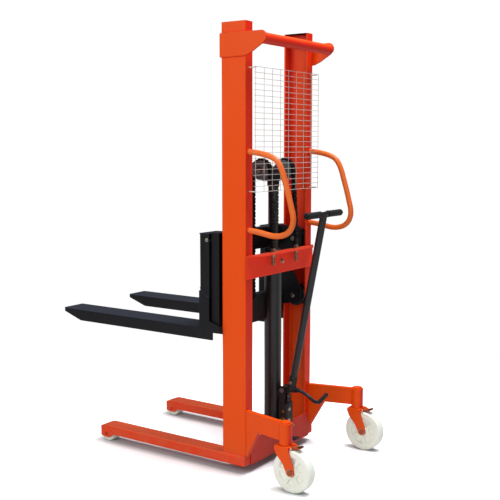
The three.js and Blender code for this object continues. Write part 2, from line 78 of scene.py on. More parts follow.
# ---------------------------------------------------------------- mesh helpers
def from_data(verts, faces):
    """Closed mesh with its faces turned outward."""
    mesh = bpy.data.meshes.new("m")
    mesh.from_pydata(verts, [], faces)
    bm = bmesh.new()
    bm.from_mesh(mesh)
    bmesh.ops.recalc_face_normals(bm, faces=bm.faces)
    if bm.calc_volume(signed=True) < 0:
        bmesh.ops.reverse_faces(bm, faces=bm.faces)
    bm.to_mesh(mesh)
    bm.free()
    return mesh


def place(axis, a, b, along):
    """Point at (a, b) in the plane across an axis, at a distance along it."""
    return {"x": (along, a, b), "y": (a, along, b), "z": (a, b, along)}[axis]


def split(axis, point):
    """The inverse of place: (a, b, along)."""
    i = "xyz".index(axis)
    a, b = point[:i] + point[i + 1:]
    return a, b, point[i]


def prism(axis, start, end, points):
    n = len(points)
    verts = [place(axis, a, b, along) for along in (start, end) for a, b in points]
    faces = [tuple(range(n)), tuple(range(2 * n - 1, n - 1, -1))]
    faces += [(i, (i + 1) % n, n + (i + 1) % n, n + i) for i in range(n)]
    return from_data(verts, faces)


def fillet(points, radii, steps=5):
    """Rounds the corners of a closed outline; radii is one radius or one per corner."""
    if isinstance(radii, (int, float)):
        radii = [radii] * len(points)
    rounded = []
    for i, point in enumerate(points):
        corner = Vector(point)
        back = Vector(points[i - 1]) - corner
        ahead = Vector(points[(i + 1) % len(points)]) - corner
        back_len, ahead_len = back.length, ahead.length
        back, ahead = back / back_len, ahead / ahead_len
        angle = math.acos(max(-1, min(1, back.dot(ahead))))
        radius = radii[i]
        if radius < 0.05 or abs(math.pi - angle) < 0.03:
            rounded.append((corner.x, corner.y))
            continue
        setback = radius / math.tan(angle / 2)
        limit = min(back_len, ahead_len) * 0.49
        if setback > limit:
            setback, radius = limit, limit * math.tan(angle / 2)
        start, end = corner + back * setback, corner + ahead * setback
        centre = corner + (back + ahead).normalized() * (radius / math.sin(angle / 2))
        first = math.atan2(start.y - centre.y, start.x - centre.x)
        turn = math.atan2(end.y - centre.y, end.x - centre.x) - first
        while turn > math.pi:
            turn -= 2 * math.pi
        while turn < -math.pi:
            turn += 2 * math.pi
        for k in range(steps + 1):
            q = first + turn * k / steps
            rounded.append((centre.x + radius * math.cos(q), centre.y + radius * math.sin(q)))
    return rounded


def slab(axis, start, end, points, radii, steps=5):
    """Prism of a filleted outline."""
    return prism(axis, start, end, fillet(points, radii, steps))


def rect(a0, a1, b0, b1):
    return [(a0, b0), (a1, b0), (a1, b1), (a0, b1)]


def rect_up(a0, a1, b0, b1):
    """The same rectangle, going along b first."""
    return [(a0, b0), (a0, b1), (a1, b1), (a1, b0)]


def box(x0, x1, y0, y1, z0, z1):
    return prism("z", z0, z1, rect(min(x0, x1), max(x0, x1), y0, y1))


def circle(radius, steps, a, b, turn=0.0):
    angles = [turn + 2 * math.pi * k / steps for k in range(steps)]
    return [(a + radius * math.cos(q), b + radius * math.sin(q)) for q in angles]


def cylinder(axis, radius, start, end, a, b, steps=40):
    return prism(axis, min(start, end), max(start, end), circle(radius, steps, a, b))


def symmetric(half):
    """Full lathe profile from its half on the negative side."""
    return half + [(-along, radius) for along, radius in reversed(half)]


def lathe(profile, axis, centre, steps=56):
    """Closed outline of (along, radius) turned about an axis through centre."""
    verts, rings = [], []
    for along, radius in profile:
        if radius <= 1e-6:
            rings.append([len(verts)])
            verts.append((along, 0.0, 0.0))
        else:
            rings.append(list(range(len(verts), len(verts) + steps)))
            verts += [(along, *p) for p in circle(radius, steps, 0.0, 0.0)]
    faces = []
    for i, a in enumerate(rings):
        b = rings[(i + 1) % len(rings)]
        if len(a) == 1 and len(b) == 1:
            continue
        for k in range(steps):
            k2 = (k + 1) % steps
            if len(a) == 1:
                faces.append((a[0], b[k], b[k2]))
            elif len(b) == 1:
                faces.append((a[k], b[0], a[k2]))
            else:
                faces.append((a[k], b[k], b[k2], a[k2]))
    order = {"x": (0, 1, 2), "y": (2, 0, 1), "z": (1, 2, 0)}[axis]
    verts = [tuple(centre[k] + p[order[k]] for k in range(3)) for p in verts]
    return from_data(verts, faces)


def sweep(points, radius, steps=24, up=(1, 0, 0), ripple=None):
    """Round bar along points; ripple(i) scales the radius ring by ring."""
    points = [Vector(p) for p in points]
    last = len(points) - 1
    verts, faces = [], []
    previous, normal = None, None
    for i, point in enumerate(points):
        tangent = (points[min(i + 1, last)] - points[max(i - 1, 0)]).normalized()
        if normal is None:
            up = Vector(up)
            normal = (up - tangent * up.dot(tangent)).normalized()
        else:
            hinge = previous.cross(tangent)
            if hinge.length > 1e-9:
                turn = Matrix.Rotation(previous.angle(tangent), 3, hinge.normalized())
                normal = turn @ normal
            normal = (normal - tangent * normal.dot(tangent)).normalized()
        across = tangent.cross(normal)
        ring_r = radius if ripple is None else radius * ripple(i)
        for k in range(steps):
            q = 2 * math.pi * k / steps
            verts.append(tuple(point + normal * (ring_r * math.cos(q))
                               + across * (ring_r * math.sin(q))))
        if i:
            a, b = (i - 1) * steps, i * steps
            faces += [(a + k, a + (k + 1) % steps, b + (k + 1) % steps, b + k)
                      for k in range(steps)]
        previous = tangent
    faces.append(tuple(range(steps - 1, -1, -1)))
    faces.append(tuple(range(last * steps, (last + 1) * steps)))
    return from_data(verts, faces)


def between(a, b, t_a, t_b, t):
    return a * ((t_b - t) / (t_b - t_a)) + b * ((t - t_a) / (t_b - t_a))


def spline(points, step):
    """Centripetal Catmull-Rom curve through points, about one sample per step."""
    points = [Vector(p) for p in points]
    points = [points[0] * 2 - points[1]] + points + [points[-1] * 2 - points[-2]]
    samples = []
    for i in range(1, len(points) - 2):
        p0, p1, p2, p3 = points[i - 1:i + 3]
        t0 = 0.0
        t1 = t0 + (p1 - p0).length ** 0.5
        t2 = t1 + (p2 - p1).length ** 0.5
        t3 = t2 + (p3 - p2).length ** 0.5
        count = max(2, int((p2 - p1).length / step))
        for k in range(count):
            t = t1 + (t2 - t1) * k / count
            a1 = between(p0, p1, t0, t1, t)
            a2 = between(p1, p2, t1, t2, t)
            a3 = between(p2, p3, t2, t3, t)
            b1 = between(a1, a2, t0, t2, t)
            b2 = between(a2, a3, t1, t3, t)
            samples.append(between(b1, b2, t1, t2, t))
    samples.append(points[-2])
    return samples


def joined(meshes):
    """Several closed shells as one mesh."""
    bm = bmesh.new()
    for mesh in meshes:
        bm.from_mesh(mesh)
    result = bpy.data.meshes.new("m")
    bm.to_mesh(result)
    bm.free()
    return result


def boolean(operation, mesh, *others):
    for other in others:
        pair = [bpy.data.objects.new(name, data) for name, data in (("ta", mesh), ("tb", other))]
        for thing in pair:
            SCENE.collection.objects.link(thing)
        modifier = pair[0].modifiers.new("b", "BOOLEAN")
        modifier.operation, modifier.solver, modifier.object = operation, "MANIFOLD", pair[1]
        graph = bpy.context.evaluated_depsgraph_get()
        mesh = bpy.data.meshes.new_from_object(pair[0].evaluated_get(graph), depsgraph=graph)
        for thing in pair:
            bpy.data.objects.remove(thing)
        if not mesh.polygons:
            raise RuntimeError("an empty boolean result")
    return mesh


def add(*meshes):
    return boolean("UNION", *meshes)


def cut(*meshes):
    return boolean("DIFFERENCE", *meshes)


def keep(*meshes):
    return boolean("INTERSECT", *meshes)


def tidy(mesh):
    """Merges doubled points and dissolves flat seams, in place."""
    bm = bmesh.new()
    bm.from_mesh(mesh)
    bmesh.ops.remove_doubles(bm, verts=bm.verts, dist=0.01)
    bmesh.ops.dissolve_limit(bm, angle_limit=math.radians(0.4), verts=bm.verts, edges=bm.edges,
                             use_dissolve_boundaries=False)
    bm.to_mesh(mesh)
    bm.free()


def dress(name, mesh, material, sharp=32.0):
    """Object in the frame's metres, smooth shaded; edges over sharp degrees stay crisp."""
    mesh.transform(TO_FRAME)
    mesh.name = name
    mesh.materials.clear()
    mesh.materials.append(material)
    mesh.shade_smooth()
    if sharp is not None:
        mesh.set_sharp_from_angle(angle=math.radians(sharp))
    thing = bpy.data.objects.new(name, mesh)
    SCENE.collection.objects.link(thing)
    return thing


def part(name, mesh, material, node=None, body="frame", bevel=0.0, limit=50.0,
         sharp=32.0, clean=True):
    """Finished piece that rides on a body and may stand in for a CAD node."""
    if clean:
        tidy(mesh)
    thing = dress(name, mesh, material, sharp)
    if bevel:
        edge = thing.modifiers.new("edge", "BEVEL")
        edge.width, edge.segments = bevel / 1000.0, 2
        edge.limit_method, edge.angle_limit = "ANGLE", math.radians(limit)
        edge.use_clamp_overlap, edge.harden_normals = False, False
        edge.miter_outer = "MITER_ARC"
        thing.modifiers.new("shade", "WEIGHTED_NORMAL").keep_sharp = False
    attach(thing, body)
    if node:
        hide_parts(node)


def weld(name, material, *shells, body="frame", slot=None):
    part(name, joined(shells), material, body=body, clean=False)


def stretch(thing, low, high, z_low, z_high):
    """Bakes the piece's transform into its mesh; it does not stretch it. low, high, z_low and
    z_high are not used.
    """
    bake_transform(thing)


# ---------------------------------------------------------------- shader helpers
def linear(rgb):
    """Linear RGBA from 8-bit sRGB."""
    def channel(c):
        c /= 255.0
        return c / 12.92 if c <= 0.04045 else ((c + 0.055) / 1.055) ** 2.4
    return (*map(channel, rgb), 1.0)


def plug(tree, value, socket):
    if isinstance(value, bpy.types.NodeSocket):
        tree.links.new(value, socket)
    else:
        socket.default_value = value


def add_node(tree, kind, inputs=None, **settings):
    node = tree.nodes.new("ShaderNode" + kind)
    for key, value in settings.items():
        setattr(node, key, value)
    for key, value in (inputs or {}).items():
        plug(tree, value, node.inputs[key])
    return node


class Shader:
    """A material being built around one Principled BSDF."""

    def __init__(self, name):
        self.material = bpy.data.materials.new(name)
        self.material.use_nodes = True
        self.tree = self.material.node_tree
        self.tree.nodes.clear()
        self.output = self.node("OutputMaterial")
        self.bsdf = self.node("BsdfPrincipled")
        self.tree.links.new(self.bsdf.outputs[0], self.output.inputs[0])
        self.place = self.node("TexCoord").outputs["Object"]

    @cached_property
    def normal(self):
        return self.node("NewGeometry").outputs["Normal"]

    def node(self, kind, inputs=None, **settings):
        return add_node(self.tree, kind, inputs, **settings)

    def noise(self, scale, detail=3.0, rough=0.55, stretch=None):
        where = self.place
        if stretch:
            where = self.node("Mapping", {"Scale": stretch, "Vector": where}).outputs[0]
        return self.node("TexNoise", {"Scale": scale, "Detail": detail, "Roughness": rough,
                                      "Distortion": 0.0, "Vector": where}).outputs["Fac"]

    def remap(self, value, span, to=(0.0, 1.0), smooth=False):
        return self.node("MapRange", {"From Min": span[0], "From Max": span[1],
                                      "To Min": to[0], "To Max": to[1], "Value": value},
                         interpolation_type="SMOOTHSTEP" if smooth else "LINEAR",
                         ).outputs["Result"]

    def calc(self, operation, a, b=0.0):
        return self.node("Math", {0: a, 1: b}, operation=operation).outputs[0]

    def times(self, a, by):
        return self.calc("MULTIPLY", a, by)

    def inverse(self, value):
        return self.calc("SUBTRACT", 1.0, value)

    def mix(self, amount, a, b):
        return self.node("Mix", {0: amount, 6: a, 7: b}, data_type="RGBA",
                         clamp_factor=True).outputs[2]

    def axis(self, which, source=None):
        return self.node("SeparateXYZ", {0: source or self.place}).outputs["XYZ".index(which)]

    def edges(self, radius=0.0014, span=(0.02, 0.22)):
        """Mask of the convex and concave edges; radius in metres."""
        bevel = self.node("Bevel", {"Radius": radius}, samples=4)
        dot = self.node("VectorMath", {0: bevel.outputs[0], 1: self.normal},
                        operation="DOT_PRODUCT")
        return self.remap(self.inverse(dot.outputs["Value"]), span)

    def bump(self, height, strength, distance, under=None):
        inputs = {"Strength": strength, "Distance": distance, "Height": height}
        if under is not None:
            inputs["Normal"] = under
        return self.node("Bump", inputs).outputs[0]

    def finish(self, inputs):
        for key, value in inputs.items():
            plug(self.tree, value, self.bsdf.inputs[key])
        return self.material


BARE_METAL = linear((112, 104, 98))     # seen through chipped paint
GRIME = linear((58, 52, 46))


def paint(name, face, shade, worn, dust, rough, coat=0.04, peel=0.35, chips=0.5, spec=0.2,
          dusty=0.35, top=None, hollow_shade=None):
    """Sprayed enamel: face on sides and tops, shade on front and rear as painted shade, worn
    edges, chips, dust.

    peel scales the orange peel, top is painted lighting on upward faces and hollow_shade is
    painted shade in high hollows.
    """
    worn, dust = linear(worn), linear(dust)
    m = Shader(name)
    normal_x = m.axis("X", m.normal)
    normal_z = m.axis("Z", m.normal)
    side = m.remap(m.calc("ABSOLUTE", normal_x), span=(0.15, 0.95), smooth=True)
    up = m.remap(normal_z, span=(0.2, 0.9), smooth=True)
    # painted shade: front and rear faces take the shade colour, sides and tops the face colour
    color = m.mix(m.calc("MAXIMUM", side, up), linear(shade), linear(face))
    # painted light and shade: upward faces take the top colour
    if top:
        color = m.mix(up, color, linear(top))
    # painted shade: occluded hollows above the carriage height take the hollow_shade colour
    if hollow_shade:
        hollow = m.node("AmbientOcclusion", {"Distance": 0.2})
        high = m.remap(m.axis("Z"), span=(0.56, 0.78), smooth=True)
        closed = m.remap(hollow.outputs["AO"], span=(0.45, 0.92), to=(1.0, 0.0), smooth=True)
        color = m.mix(m.times(high, by=closed), color, linear(hollow_shade))
    # faint clouds and vertical streaks
    cloud = m.noise(scale=3.2, detail=2.0, rough=0.5)
    color = m.mix(m.remap(cloud, span=(0.3, 0.75), to=(0.0, 0.10)), color, worn)
    streak = m.noise(scale=9.0, detail=3.0, rough=0.6, stretch=(7.0, 7.0, 0.55))
    color = m.mix(m.remap(streak, span=(0.55, 0.8), to=(0.0, 0.06)), color, dust)
    # dust near the floor
    low = m.remap(m.axis("Z"), span=(0.02, 0.22), to=(1.0, 0.0), smooth=True)
    low = m.times(low, by=m.remap(m.noise(scale=26.0, detail=4.0, rough=0.65),
                                  span=(0.35, 0.75)))
    color = m.mix(m.times(low, by=dusty), color, dust)
    # rubbed edges, then chips on edges and spots anywhere
    edge = m.edges()
    grit = m.noise(scale=170.0, detail=4.0, rough=0.7)
    rub = m.times(edge, by=m.remap(m.noise(scale=22.0, detail=3.0, rough=0.6),
                                   span=(0.38, 0.7), to=(0.25, 1.0)))
    color = m.mix(m.times(rub, by=0.32), color, worn)
    chip = m.times(m.remap(m.times(edge, by=grit), span=(0.50, 0.56)), by=chips)
    spots = m.times(m.remap(m.noise(scale=58.0, detail=5.0, rough=0.7), span=(0.735, 0.765)),
                    by=chips * 0.7)
    bare = m.calc("MAXIMUM", chip, spots)
    color = m.mix(bare, color, BARE_METAL)
    roughness = m.remap(m.noise(scale=14.0, detail=4.0, rough=0.65), span=(0.3, 0.7),
                        to=(rough - 0.06, rough + 0.09))
    roughness = m.calc("ADD", roughness, m.times(low, by=0.22))
    roughness = m.calc("ADD", roughness, m.times(bare, by=0.15))
    fine = m.bump(m.noise(scale=420.0, detail=2.0, rough=0.5), strength=0.10 * peel,
                  distance=0.0009)
    broad = m.bump(m.noise(scale=34.0, detail=2.0, rough=0.5), strength=0.06 * peel,
                   distance=0.004, under=fine)
    relief = m.bump(m.inverse(bare), strength=0.25, distance=0.0003, under=broad)
    return m.finish({"Base Color": color, "Roughness": roughness, "Normal": relief,
                     "Coat Weight": coat, "Coat Roughness": 0.22, "Specular IOR Level": spec,
                     "Metallic": m.times(bare, by=0.6)})


def metal(name, base, dark, rough, brush=None, spots=0.2, metallic=1.0, grime=0.35):
    """Bare or plated steel; brush stretches the tooling lines, spots mottles the plating."""
    dark = linear(dark)
    m = Shader(name)
    color = m.mix(m.remap(m.noise(scale=38.0, detail=4.0, rough=0.65), span=(0.35, 0.7),
                          to=(0.0, 0.5)), linear(base), dark)
    cell = m.node("TexVoronoi", {"Scale": 240.0, "Vector": m.place}).outputs["Color"]
    color = m.mix(m.times(m.axis("X", cell), by=spots), color, dark)
    edge = m.edges(radius=0.0012)
    dirt = m.times(m.inverse(edge), by=m.remap(m.noise(scale=70.0, detail=4.0, rough=0.7),
                                               span=(0.5, 0.75), to=(0.0, grime)))
    color = m.mix(dirt, color, GRIME)
    lines = m.noise(scale=260.0 if brush else 900.0, detail=2.0, rough=0.5, stretch=brush)
    roughness = m.remap(lines, span=(0.3, 0.7), to=(rough - 0.07, rough + 0.10))
    relief = m.bump(lines, strength=0.10, distance=0.0004)
    relief = m.bump(m.noise(scale=60.0, detail=3.0, rough=0.6), strength=0.05, distance=0.001,
                    under=relief)
    return m.finish({"Base Color": color, "Roughness": roughness, "Metallic": metallic,
                     "Normal": relief})


def cast_nylon():
    m = Shader("cast_nylon")
    color = m.mix(m.remap(m.noise(scale=11.0, detail=3.0, rough=0.55), span=(0.3, 0.7)),
                  linear((252, 252, 244)), linear((240, 246, 230)))
    edge = m.edges(radius=0.004, span=(0.03, 0.4))
    dirt = m.times(m.inverse(edge), by=m.remap(m.noise(scale=55.0, detail=4.0, rough=0.7),
                                               span=(0.55, 0.8), to=(0.0, 0.18)))
    color = m.mix(dirt, color, linear((214, 224, 204)))
    scuff = m.noise(scale=95.0, detail=5.0, rough=0.7, stretch=(0.35, 1.0, 1.0))
    color = m.mix(m.remap(scuff, span=(0.64, 0.74), to=(0.0, 0.22)), color,
                  linear((160, 156, 140)))
    roughness = m.remap(m.noise(scale=30.0, detail=4.0, rough=0.6), span=(0.3, 0.7),
                        to=(0.36, 0.52))
    relief = m.bump(m.noise(scale=300.0, detail=3.0, rough=0.6), strength=0.10, distance=0.0006)
    relief = m.bump(scuff, strength=0.10, distance=0.0005, under=relief)
    return m.finish({"Base Color": color, "Roughness": roughness, "Normal": relief,
                     "Subsurface Weight": 0.12, "Subsurface Scale": 0.006,
                     "Specular IOR Level": 0.4})


def grip_rubber():
    m = Shader("grip_rubber_black")
    color = m.mix(m.remap(m.noise(scale=40.0, detail=3.0, rough=0.6), span=(0.3, 0.7)),
                  linear((9, 8, 8)), linear((14, 13, 13)))
    color = m.mix(m.remap(m.noise(scale=120.0, detail=5.0, rough=0.7), span=(0.62, 0.75),
                          to=(0.0, 0.35)), color, linear((60, 58, 56)))
    relief = m.bump(m.noise(scale=520.0, detail=3.0, rough=0.6), strength=0.25, distance=0.0005)
    roughness = m.remap(m.noise(scale=18.0, detail=3.0, rough=0.6), span=(0.3, 0.7),
                        to=(0.55, 0.72))
    return m.finish({"Base Color": color, "Roughness": roughness, "Normal": relief,
                     "Sheen Weight": 0.04, "Sheen Roughness": 0.5, "Specular IOR Level": 0.3})


# ---------------------------------------------------------------- materials
# shade: painted shade, a darker red on front and rear faces
ORANGE_LOOK = dict(shade=(214, 36, 10), worn=(242, 104, 32), dust=(186, 120, 76), rough=0.40)
ORANGE = paint("orange_enamel", face=(238, 78, 0), **ORANGE_LOOK)
# hollow_shade: painted shade, a deep red in the mast's hollows above the carriage
ORANGE_MAST = paint("mast_channel_enamel", face=(240, 78, 0), hollow_shade=(216, 36, 20), **ORANGE_LOOK)
ORANGE_TUBE = paint("orange_tube_enamel", face=(230, 106, 32), shade=(218, 86, 28),
                    worn=(244, 142, 76), dust=(196, 140, 92), rough=0.36, coat=0.15, spec=0.3)
# painted light and shade: its front and rear faces take a brighter red than the orange shade,
# its top a darker one
BEAM_PAINTED_LIGHT_AND_SHADE = paint("crossbeam_enamel", face=(240, 58, 24), shade=(252, 54, 22),
                 worn=(240, 110, 84), dust=(196, 120, 90), rough=0.42, top=(206, 60, 36))
# painted shade: a darker red copy of the orange paint for the base plates and load axles, its
# top a little lighter as painted light
BASE_PAINTED_SHADE = paint("shaded_base_enamel", face=(190, 34, 20), shade=(184, 28, 22),
                 worn=(226, 100, 76), dust=(176, 110, 84), rough=0.44, top=(206, 48, 28))
# top: painted light, lighter and pinker upward faces
LEG_RED = paint("leg_enamel", face=(238, 58, 4), shade=(224, 40, 6), worn=(248, 140, 104),
                dust=(200, 130, 96), rough=0.42, coat=0.03, top=(246, 90, 48))
BOLT_ORANGE = paint("painted_bolt_enamel", face=(170, 66, 16), shade=(150, 54, 16),
                    worn=(200, 120, 80), dust=(150, 110, 80), rough=0.45, spec=0.3)
# top: painted reflection, bluish grey upward faces
BLACK = paint("black_enamel", face=(17, 17, 21), shade=(13, 13, 15), worn=(58, 58, 68),
              dust=(90, 86, 84), rough=0.42, chips=0.4, dusty=0.15, spec=0.22, top=(48, 50, 62))
BLACK_GLOSS = paint("black_cylinder_enamel", face=(28, 23, 26), shade=(26, 22, 24),
                    worn=(76, 70, 74), dust=(90, 84, 80), rough=0.34, coat=0.2, chips=0.3,
                    dusty=0.2, spec=0.4)
CAST = paint("cast_iron_paint", face=(20, 19, 20), shade=(16, 15, 17), worn=(60, 56, 52),
             dust=(88, 78, 62), rough=0.55, coat=0.05, peel=2.2, chips=0.6, dusty=0.4, spec=0.5)
TURNED = (6.0, 1.0, 1.0)                # fine lines across x
STEEL = metal("bare_steel_turned", base=(150, 152, 154), dark=(104, 106, 108), rough=0.33,
              brush=TURNED)
DARK_STEEL = metal("black_oxide_steel", base=(66, 68, 70), dark=(34, 35, 37), rough=0.42,
                   brush=TURNED, grime=0.5)
ZINC = metal("zinc_plated_steel", base=(206, 202, 186), dark=(166, 164, 152), rough=0.30,
             spots=0.35, grime=0.25)
GALV = metal("galvanised_wire_finish", base=(226, 222, 216), dark=(188, 186, 182), rough=0.46,
             spots=0.4, metallic=0.35, grime=0.15)
# painted dark reflection: the base is far darker than bright chrome
CHROME = metal("oiled_hard_chrome_rod_painted_dark_reflection", base=(104, 106, 104), dark=(78, 80, 78), rough=0.24,
               brush=(1.0, 1.0, 7.0), spots=0.1, grime=0.3)
BRASS = metal("brass_fitting", base=(206, 168, 92), dark=(150, 116, 58), rough=0.32, spots=0.15)
CHAIN = metal("oiled_chain_steel", base=(56, 56, 56), dark=(24, 24, 25), rough=0.38, spots=0.3,
              metallic=0.85, grime=0.7)
SHEAVE = metal("worn_sheave_steel", base=(112, 122, 126), dark=(78, 88, 94), rough=0.42,
               brush=TURNED, spots=0.3, metallic=0.25, grime=0.5)
BRONZE = metal("yellow_zinc_plate", base=(196, 142, 112), dark=(128, 88, 66), rough=0.36,
               spots=0.35, metallic=0.6, grime=0.4)
SPRING = metal("spring_wire", base=(120, 120, 118), dark=(74, 74, 74), rough=0.35, spots=0.1)
NYLON, RUBBER = cast_nylon(), grip_rubber()


# ---------------------------------------------------------------- small repeated hardware
def hexagon(flats, height, axis, centre, bore=0.0, chamfer=1.2, turn=0.0):
    """Hex nut or head about its centre, chamfered on both faces."""
    radius = flats / math.sqrt(3)
    a, b, along = split(axis, centre)
    body = prism(axis, along - height / 2, along + height / 2, circle(radius, 6, a, b, turn))
    face_r = flats / 2 - 0.2
    trim = symmetric([(-height / 2 - 0.01, 0), (-height / 2 - 0.01, face_r),
                      (-height / 2 + chamfer, radius + 0.3)])
    body = keep(body, lathe(trim, axis, centre, 36))
    if bore:
        body = cut(body, cylinder(axis, bore, along - height, along + height, a, b, 28))
    return body


def washer(bore, radius, height, axis, centre):
    half = [(-height / 2, bore), (-height / 2, radius - 0.3), (-height / 2 + 0.3, radius)]
    return lathe(symmetric(half), axis, centre, 36)


def thread(radius, length, axis, start, pitch, steps):
    """Threaded end as closely spaced ridges."""
    root = radius - pitch * 0.5
    profile = [(0.0, 0.0), (0.0, root)]
    for i in range(int(length / pitch)):
        profile += [(pitch * (i + 0.5), radius), (pitch * (i + 1.0), root)]
    profile += [(length, root), (length + 1.0, root - 1.0), (length + 1.0, 0.0)]
    return lathe(profile, axis, start, steps)


def bead(points, radius=2.4, step=1.6, seed=0.0):
    """Straight weld bead: overlapping scales, slightly uneven, thin at both ends."""
    points = [Vector(p) for p in points]
    fine = []
    for a, b in zip(points[:-1], points[1:]):
        count = max(1, int((b - a).length / step))
        fine += [a.lerp(b, k / count) for k in range(count)]
    fine.append(points[-1])

    def ripple(i):
        end = min(1.0, 0.35 + min(i, len(fine) - 1 - i) * 0.25)
        wander = mnoise.noise(Vector((i * 0.21, seed, 0.3)))
        return end * (1.0 + 0.10 * math.sin(i * 2.1) + 0.14 * wander)
    return sweep(fine, radius, 8, ripple=ripple)


def ring_bead(ring_r, radius, axis, centre, seed, first=0.0, last=2 * math.pi):
    """Weld bead round an axis, from angle first to angle last."""
    a, b, along = split(axis, centre)
    count = int(abs(last - first) * ring_r / 1.8)
    points = []
    for k in range(count + 1):
        q = first + (last - first) * k / count
        points.append(place(axis, a + ring_r * math.cos(q), b + ring_r * math.sin(q), along))

    def ripple(i):
        wander = mnoise.noise(Vector((i * 0.2, seed, 0.7)))
        return 1.0 + 0.10 * math.sin(i * 2.0) + 0.12 * wander
    return sweep(points, radius, 8, place(axis, 0, 0, 1), ripple)


def toe_block(sign, inner, outer, root, tip, chamfer, radius, low, high):
    """Block with its front corners cut off, to trim the tip of a leg or a fork."""
    inset = sign * chamfer
    plan = [(inner, root), (inner, tip + chamfer), (inner + inset, tip),
            (outer - inset, tip), (outer, tip + chamfer), (outer, root)]
    return slab("z", low, high, plan, [0, radius, radius, radius, radius, 0], 4)


# ---------------------------------------------------------------- mast uprights
# (x, y) section of the left channel, open toward the middle
CHANNEL = fillet(
    [(MAST_X, -MAST_REAR), (MAST_X, MAST_REAR), (MAST_X - 52, MAST_REAR),
     (MAST_X - 52, MAST_REAR - 7.5), (MAST_X - 10, MAST_REAR - 10), (MAST_X - 6, MAST_REAR - 14),
     (MAST_X - 6, -MAST_REAR + 14), (MAST_X - 10, -MAST_REAR + 10),
     (MAST_X - 52, -MAST_REAR + 7.5), (MAST_X - 52, -MAST_REAR)],
    [7, 8, 0.8, 4.5, 5, 5, 5, 5, 4.5, 0.8], 7)
for side, sign in SIDES:
    mesh = prism("z", LEG_TOP + 0.4, MAST_TOP, [(sign * a, b) for a, b in CHANNEL])
    part(f"upright_{side}", mesh, ORANGE_MAST, f"mast_upright_{side}", bevel=0.9, sharp=28)

# ---------------------------------------------------------------- top brackets and cross tube
# (y, z) outline of the plate on the outer side of each upright
BRACKET = fillet([(-64, 1781), (67, 1783.5), (99, 1797), (151, 1828), (166, 1843), (168, 1858),
                  (162, 1872), (150, 1880), (-64, 1880)], [2, 6, 10, 40, 12, 12, 10, 8, 2])
for side, sign in SIDES:
    mesh = prism("x", sign * (MAST_X + 0.3), sign * (MAST_X + 8.3), BRACKET)
    part(f"top_bracket_plate_{side}", mesh, ORANGE, f"top_bracket_{side}", bevel=1.1)
    x = sign * (MAST_X + 0.8)
    weld(f"top_bracket_weld_{side}", ORANGE,
         bead([(x, -60, 1880.6), (x, 58, 1880.6)], 2.2, seed=sign))
    weld(f"top_bracket_weld_low_{side}", ORANGE,
         bead([(x, -60, 1780.6), (x, 58, 1783.4)], 2.2, seed=sign + 3))

CROSS_Y, CROSS_Z, CROSS_R, CROSS_HALF = 142, 1850, 23, MAST_X - 0.2
mesh = lathe(symmetric([(-CROSS_HALF, 19), (-CROSS_HALF, 22.2), (-CROSS_HALF + 0.8, CROSS_R)]),
             "x", (0, CROSS_Y, CROSS_Z))
part("cross_tube", mesh, ORANGE, "top_cross_tube")
for side, sign in SIDES:
    end = (sign * (CROSS_HALF - 1.0), CROSS_Y, CROSS_Z)
    weld(f"cross_tube_weld_{side}", ORANGE, ring_bead(CROSS_R + 0.4, 2.0, "x", end, sign))

# ---------------------------------------------------------------- crossbeam angle
# (y, z) section, then an (x, y) plan that narrows the shelf at its ends
ANGLE = [(MAST_REAR + 0.4, 853), (MAST_REAR + 6.4, 853), (MAST_REAR + 6.4, 948), (112, 948),
         (112, 955), (MAST_REAR + 0.4, 955)]
ANGLE_PLAN = [(-274, MAST_REAR), (274, MAST_REAR), (274, 70), (206, 113), (-206, 113),
              (-274, 70)]
mesh = keep(slab("x", -274, 274, ANGLE, [1.5, 1.5, 5, 1.5, 1.5, 6]),
            slab("z", 840, 960, ANGLE_PLAN, [0, 0, 0, 12, 12, 0], 4))
mesh = cut(mesh, cylinder("z", 8.2, 930, 970, CHAIN_X, ANCHOR_Y),
           cylinder("z", 8.2, 930, 970, -CHAIN_X, ANCHOR_Y),
           cylinder("y", 5.7, 50, 80, 0, 906))
part("crossbeam_angle", mesh, BEAM_PAINTED_LIGHT_AND_SHADE, "mast_crossbeam", bevel=0.8)
for side, sign in SIDES:
    x, y = sign * 274.6, MAST_REAR + 3.4
    weld(f"crossbeam_weld_{side}", ORANGE, bead([(x, y, 854), (x, y, 953)], 2.4, seed=sign))

# ---------------------------------------------------------------- mesh guard
# 23 level wires in front of 9 upright ones, a little wavy, each running past the outermost
# wire it crosses
WIRE_R = 1.05
wires = []
for j in range(23):
    z = 1223.5 + (1739.5 - 1223.5) * j / 22
    points = []
    for k in range(25):
        x = -267.6 + 535.2 * k / 24
        wave = mnoise.noise(Vector((x * 0.012, j * 3.1, 0.0)))
        points.append((x, 98.9 + 0.25 * math.sin(k * 1.7 + j), z + 0.7 * wave))
    wires.append(sweep(points, WIRE_R, 8, (0, 0, 1)))
for i in range(9):
    x = -258.0 + 516.0 * i / 8
    points = []
    for k in range(27):
        z = 1222.3 + (1740.7 - 1222.3) * k / 26
        wave = mnoise.noise(Vector((i * 5.3, z * 0.012, 2.0)))
        points.append((x + 0.8 * wave, 101.2 + 0.2 * math.sin(k * 1.3 + i), z))
    wires.append(sweep(points, WIRE_R, 8))
part("guard_wires", joined(wires), GALV, "mesh_guard", sharp=50, clean=False)
clips = [cylinder("y", 2.4, MAST_REAR + 0.3, 98.2, end * 250, z, 20)
         for end in ENDS for z in (1225.2, 1737.0)]
part("guard_clips", joined(clips), GALV, bevel=0.3)

# ---------------------------------------------------------------- handles
HANDLE_X, HANDLE_R = 250, 12
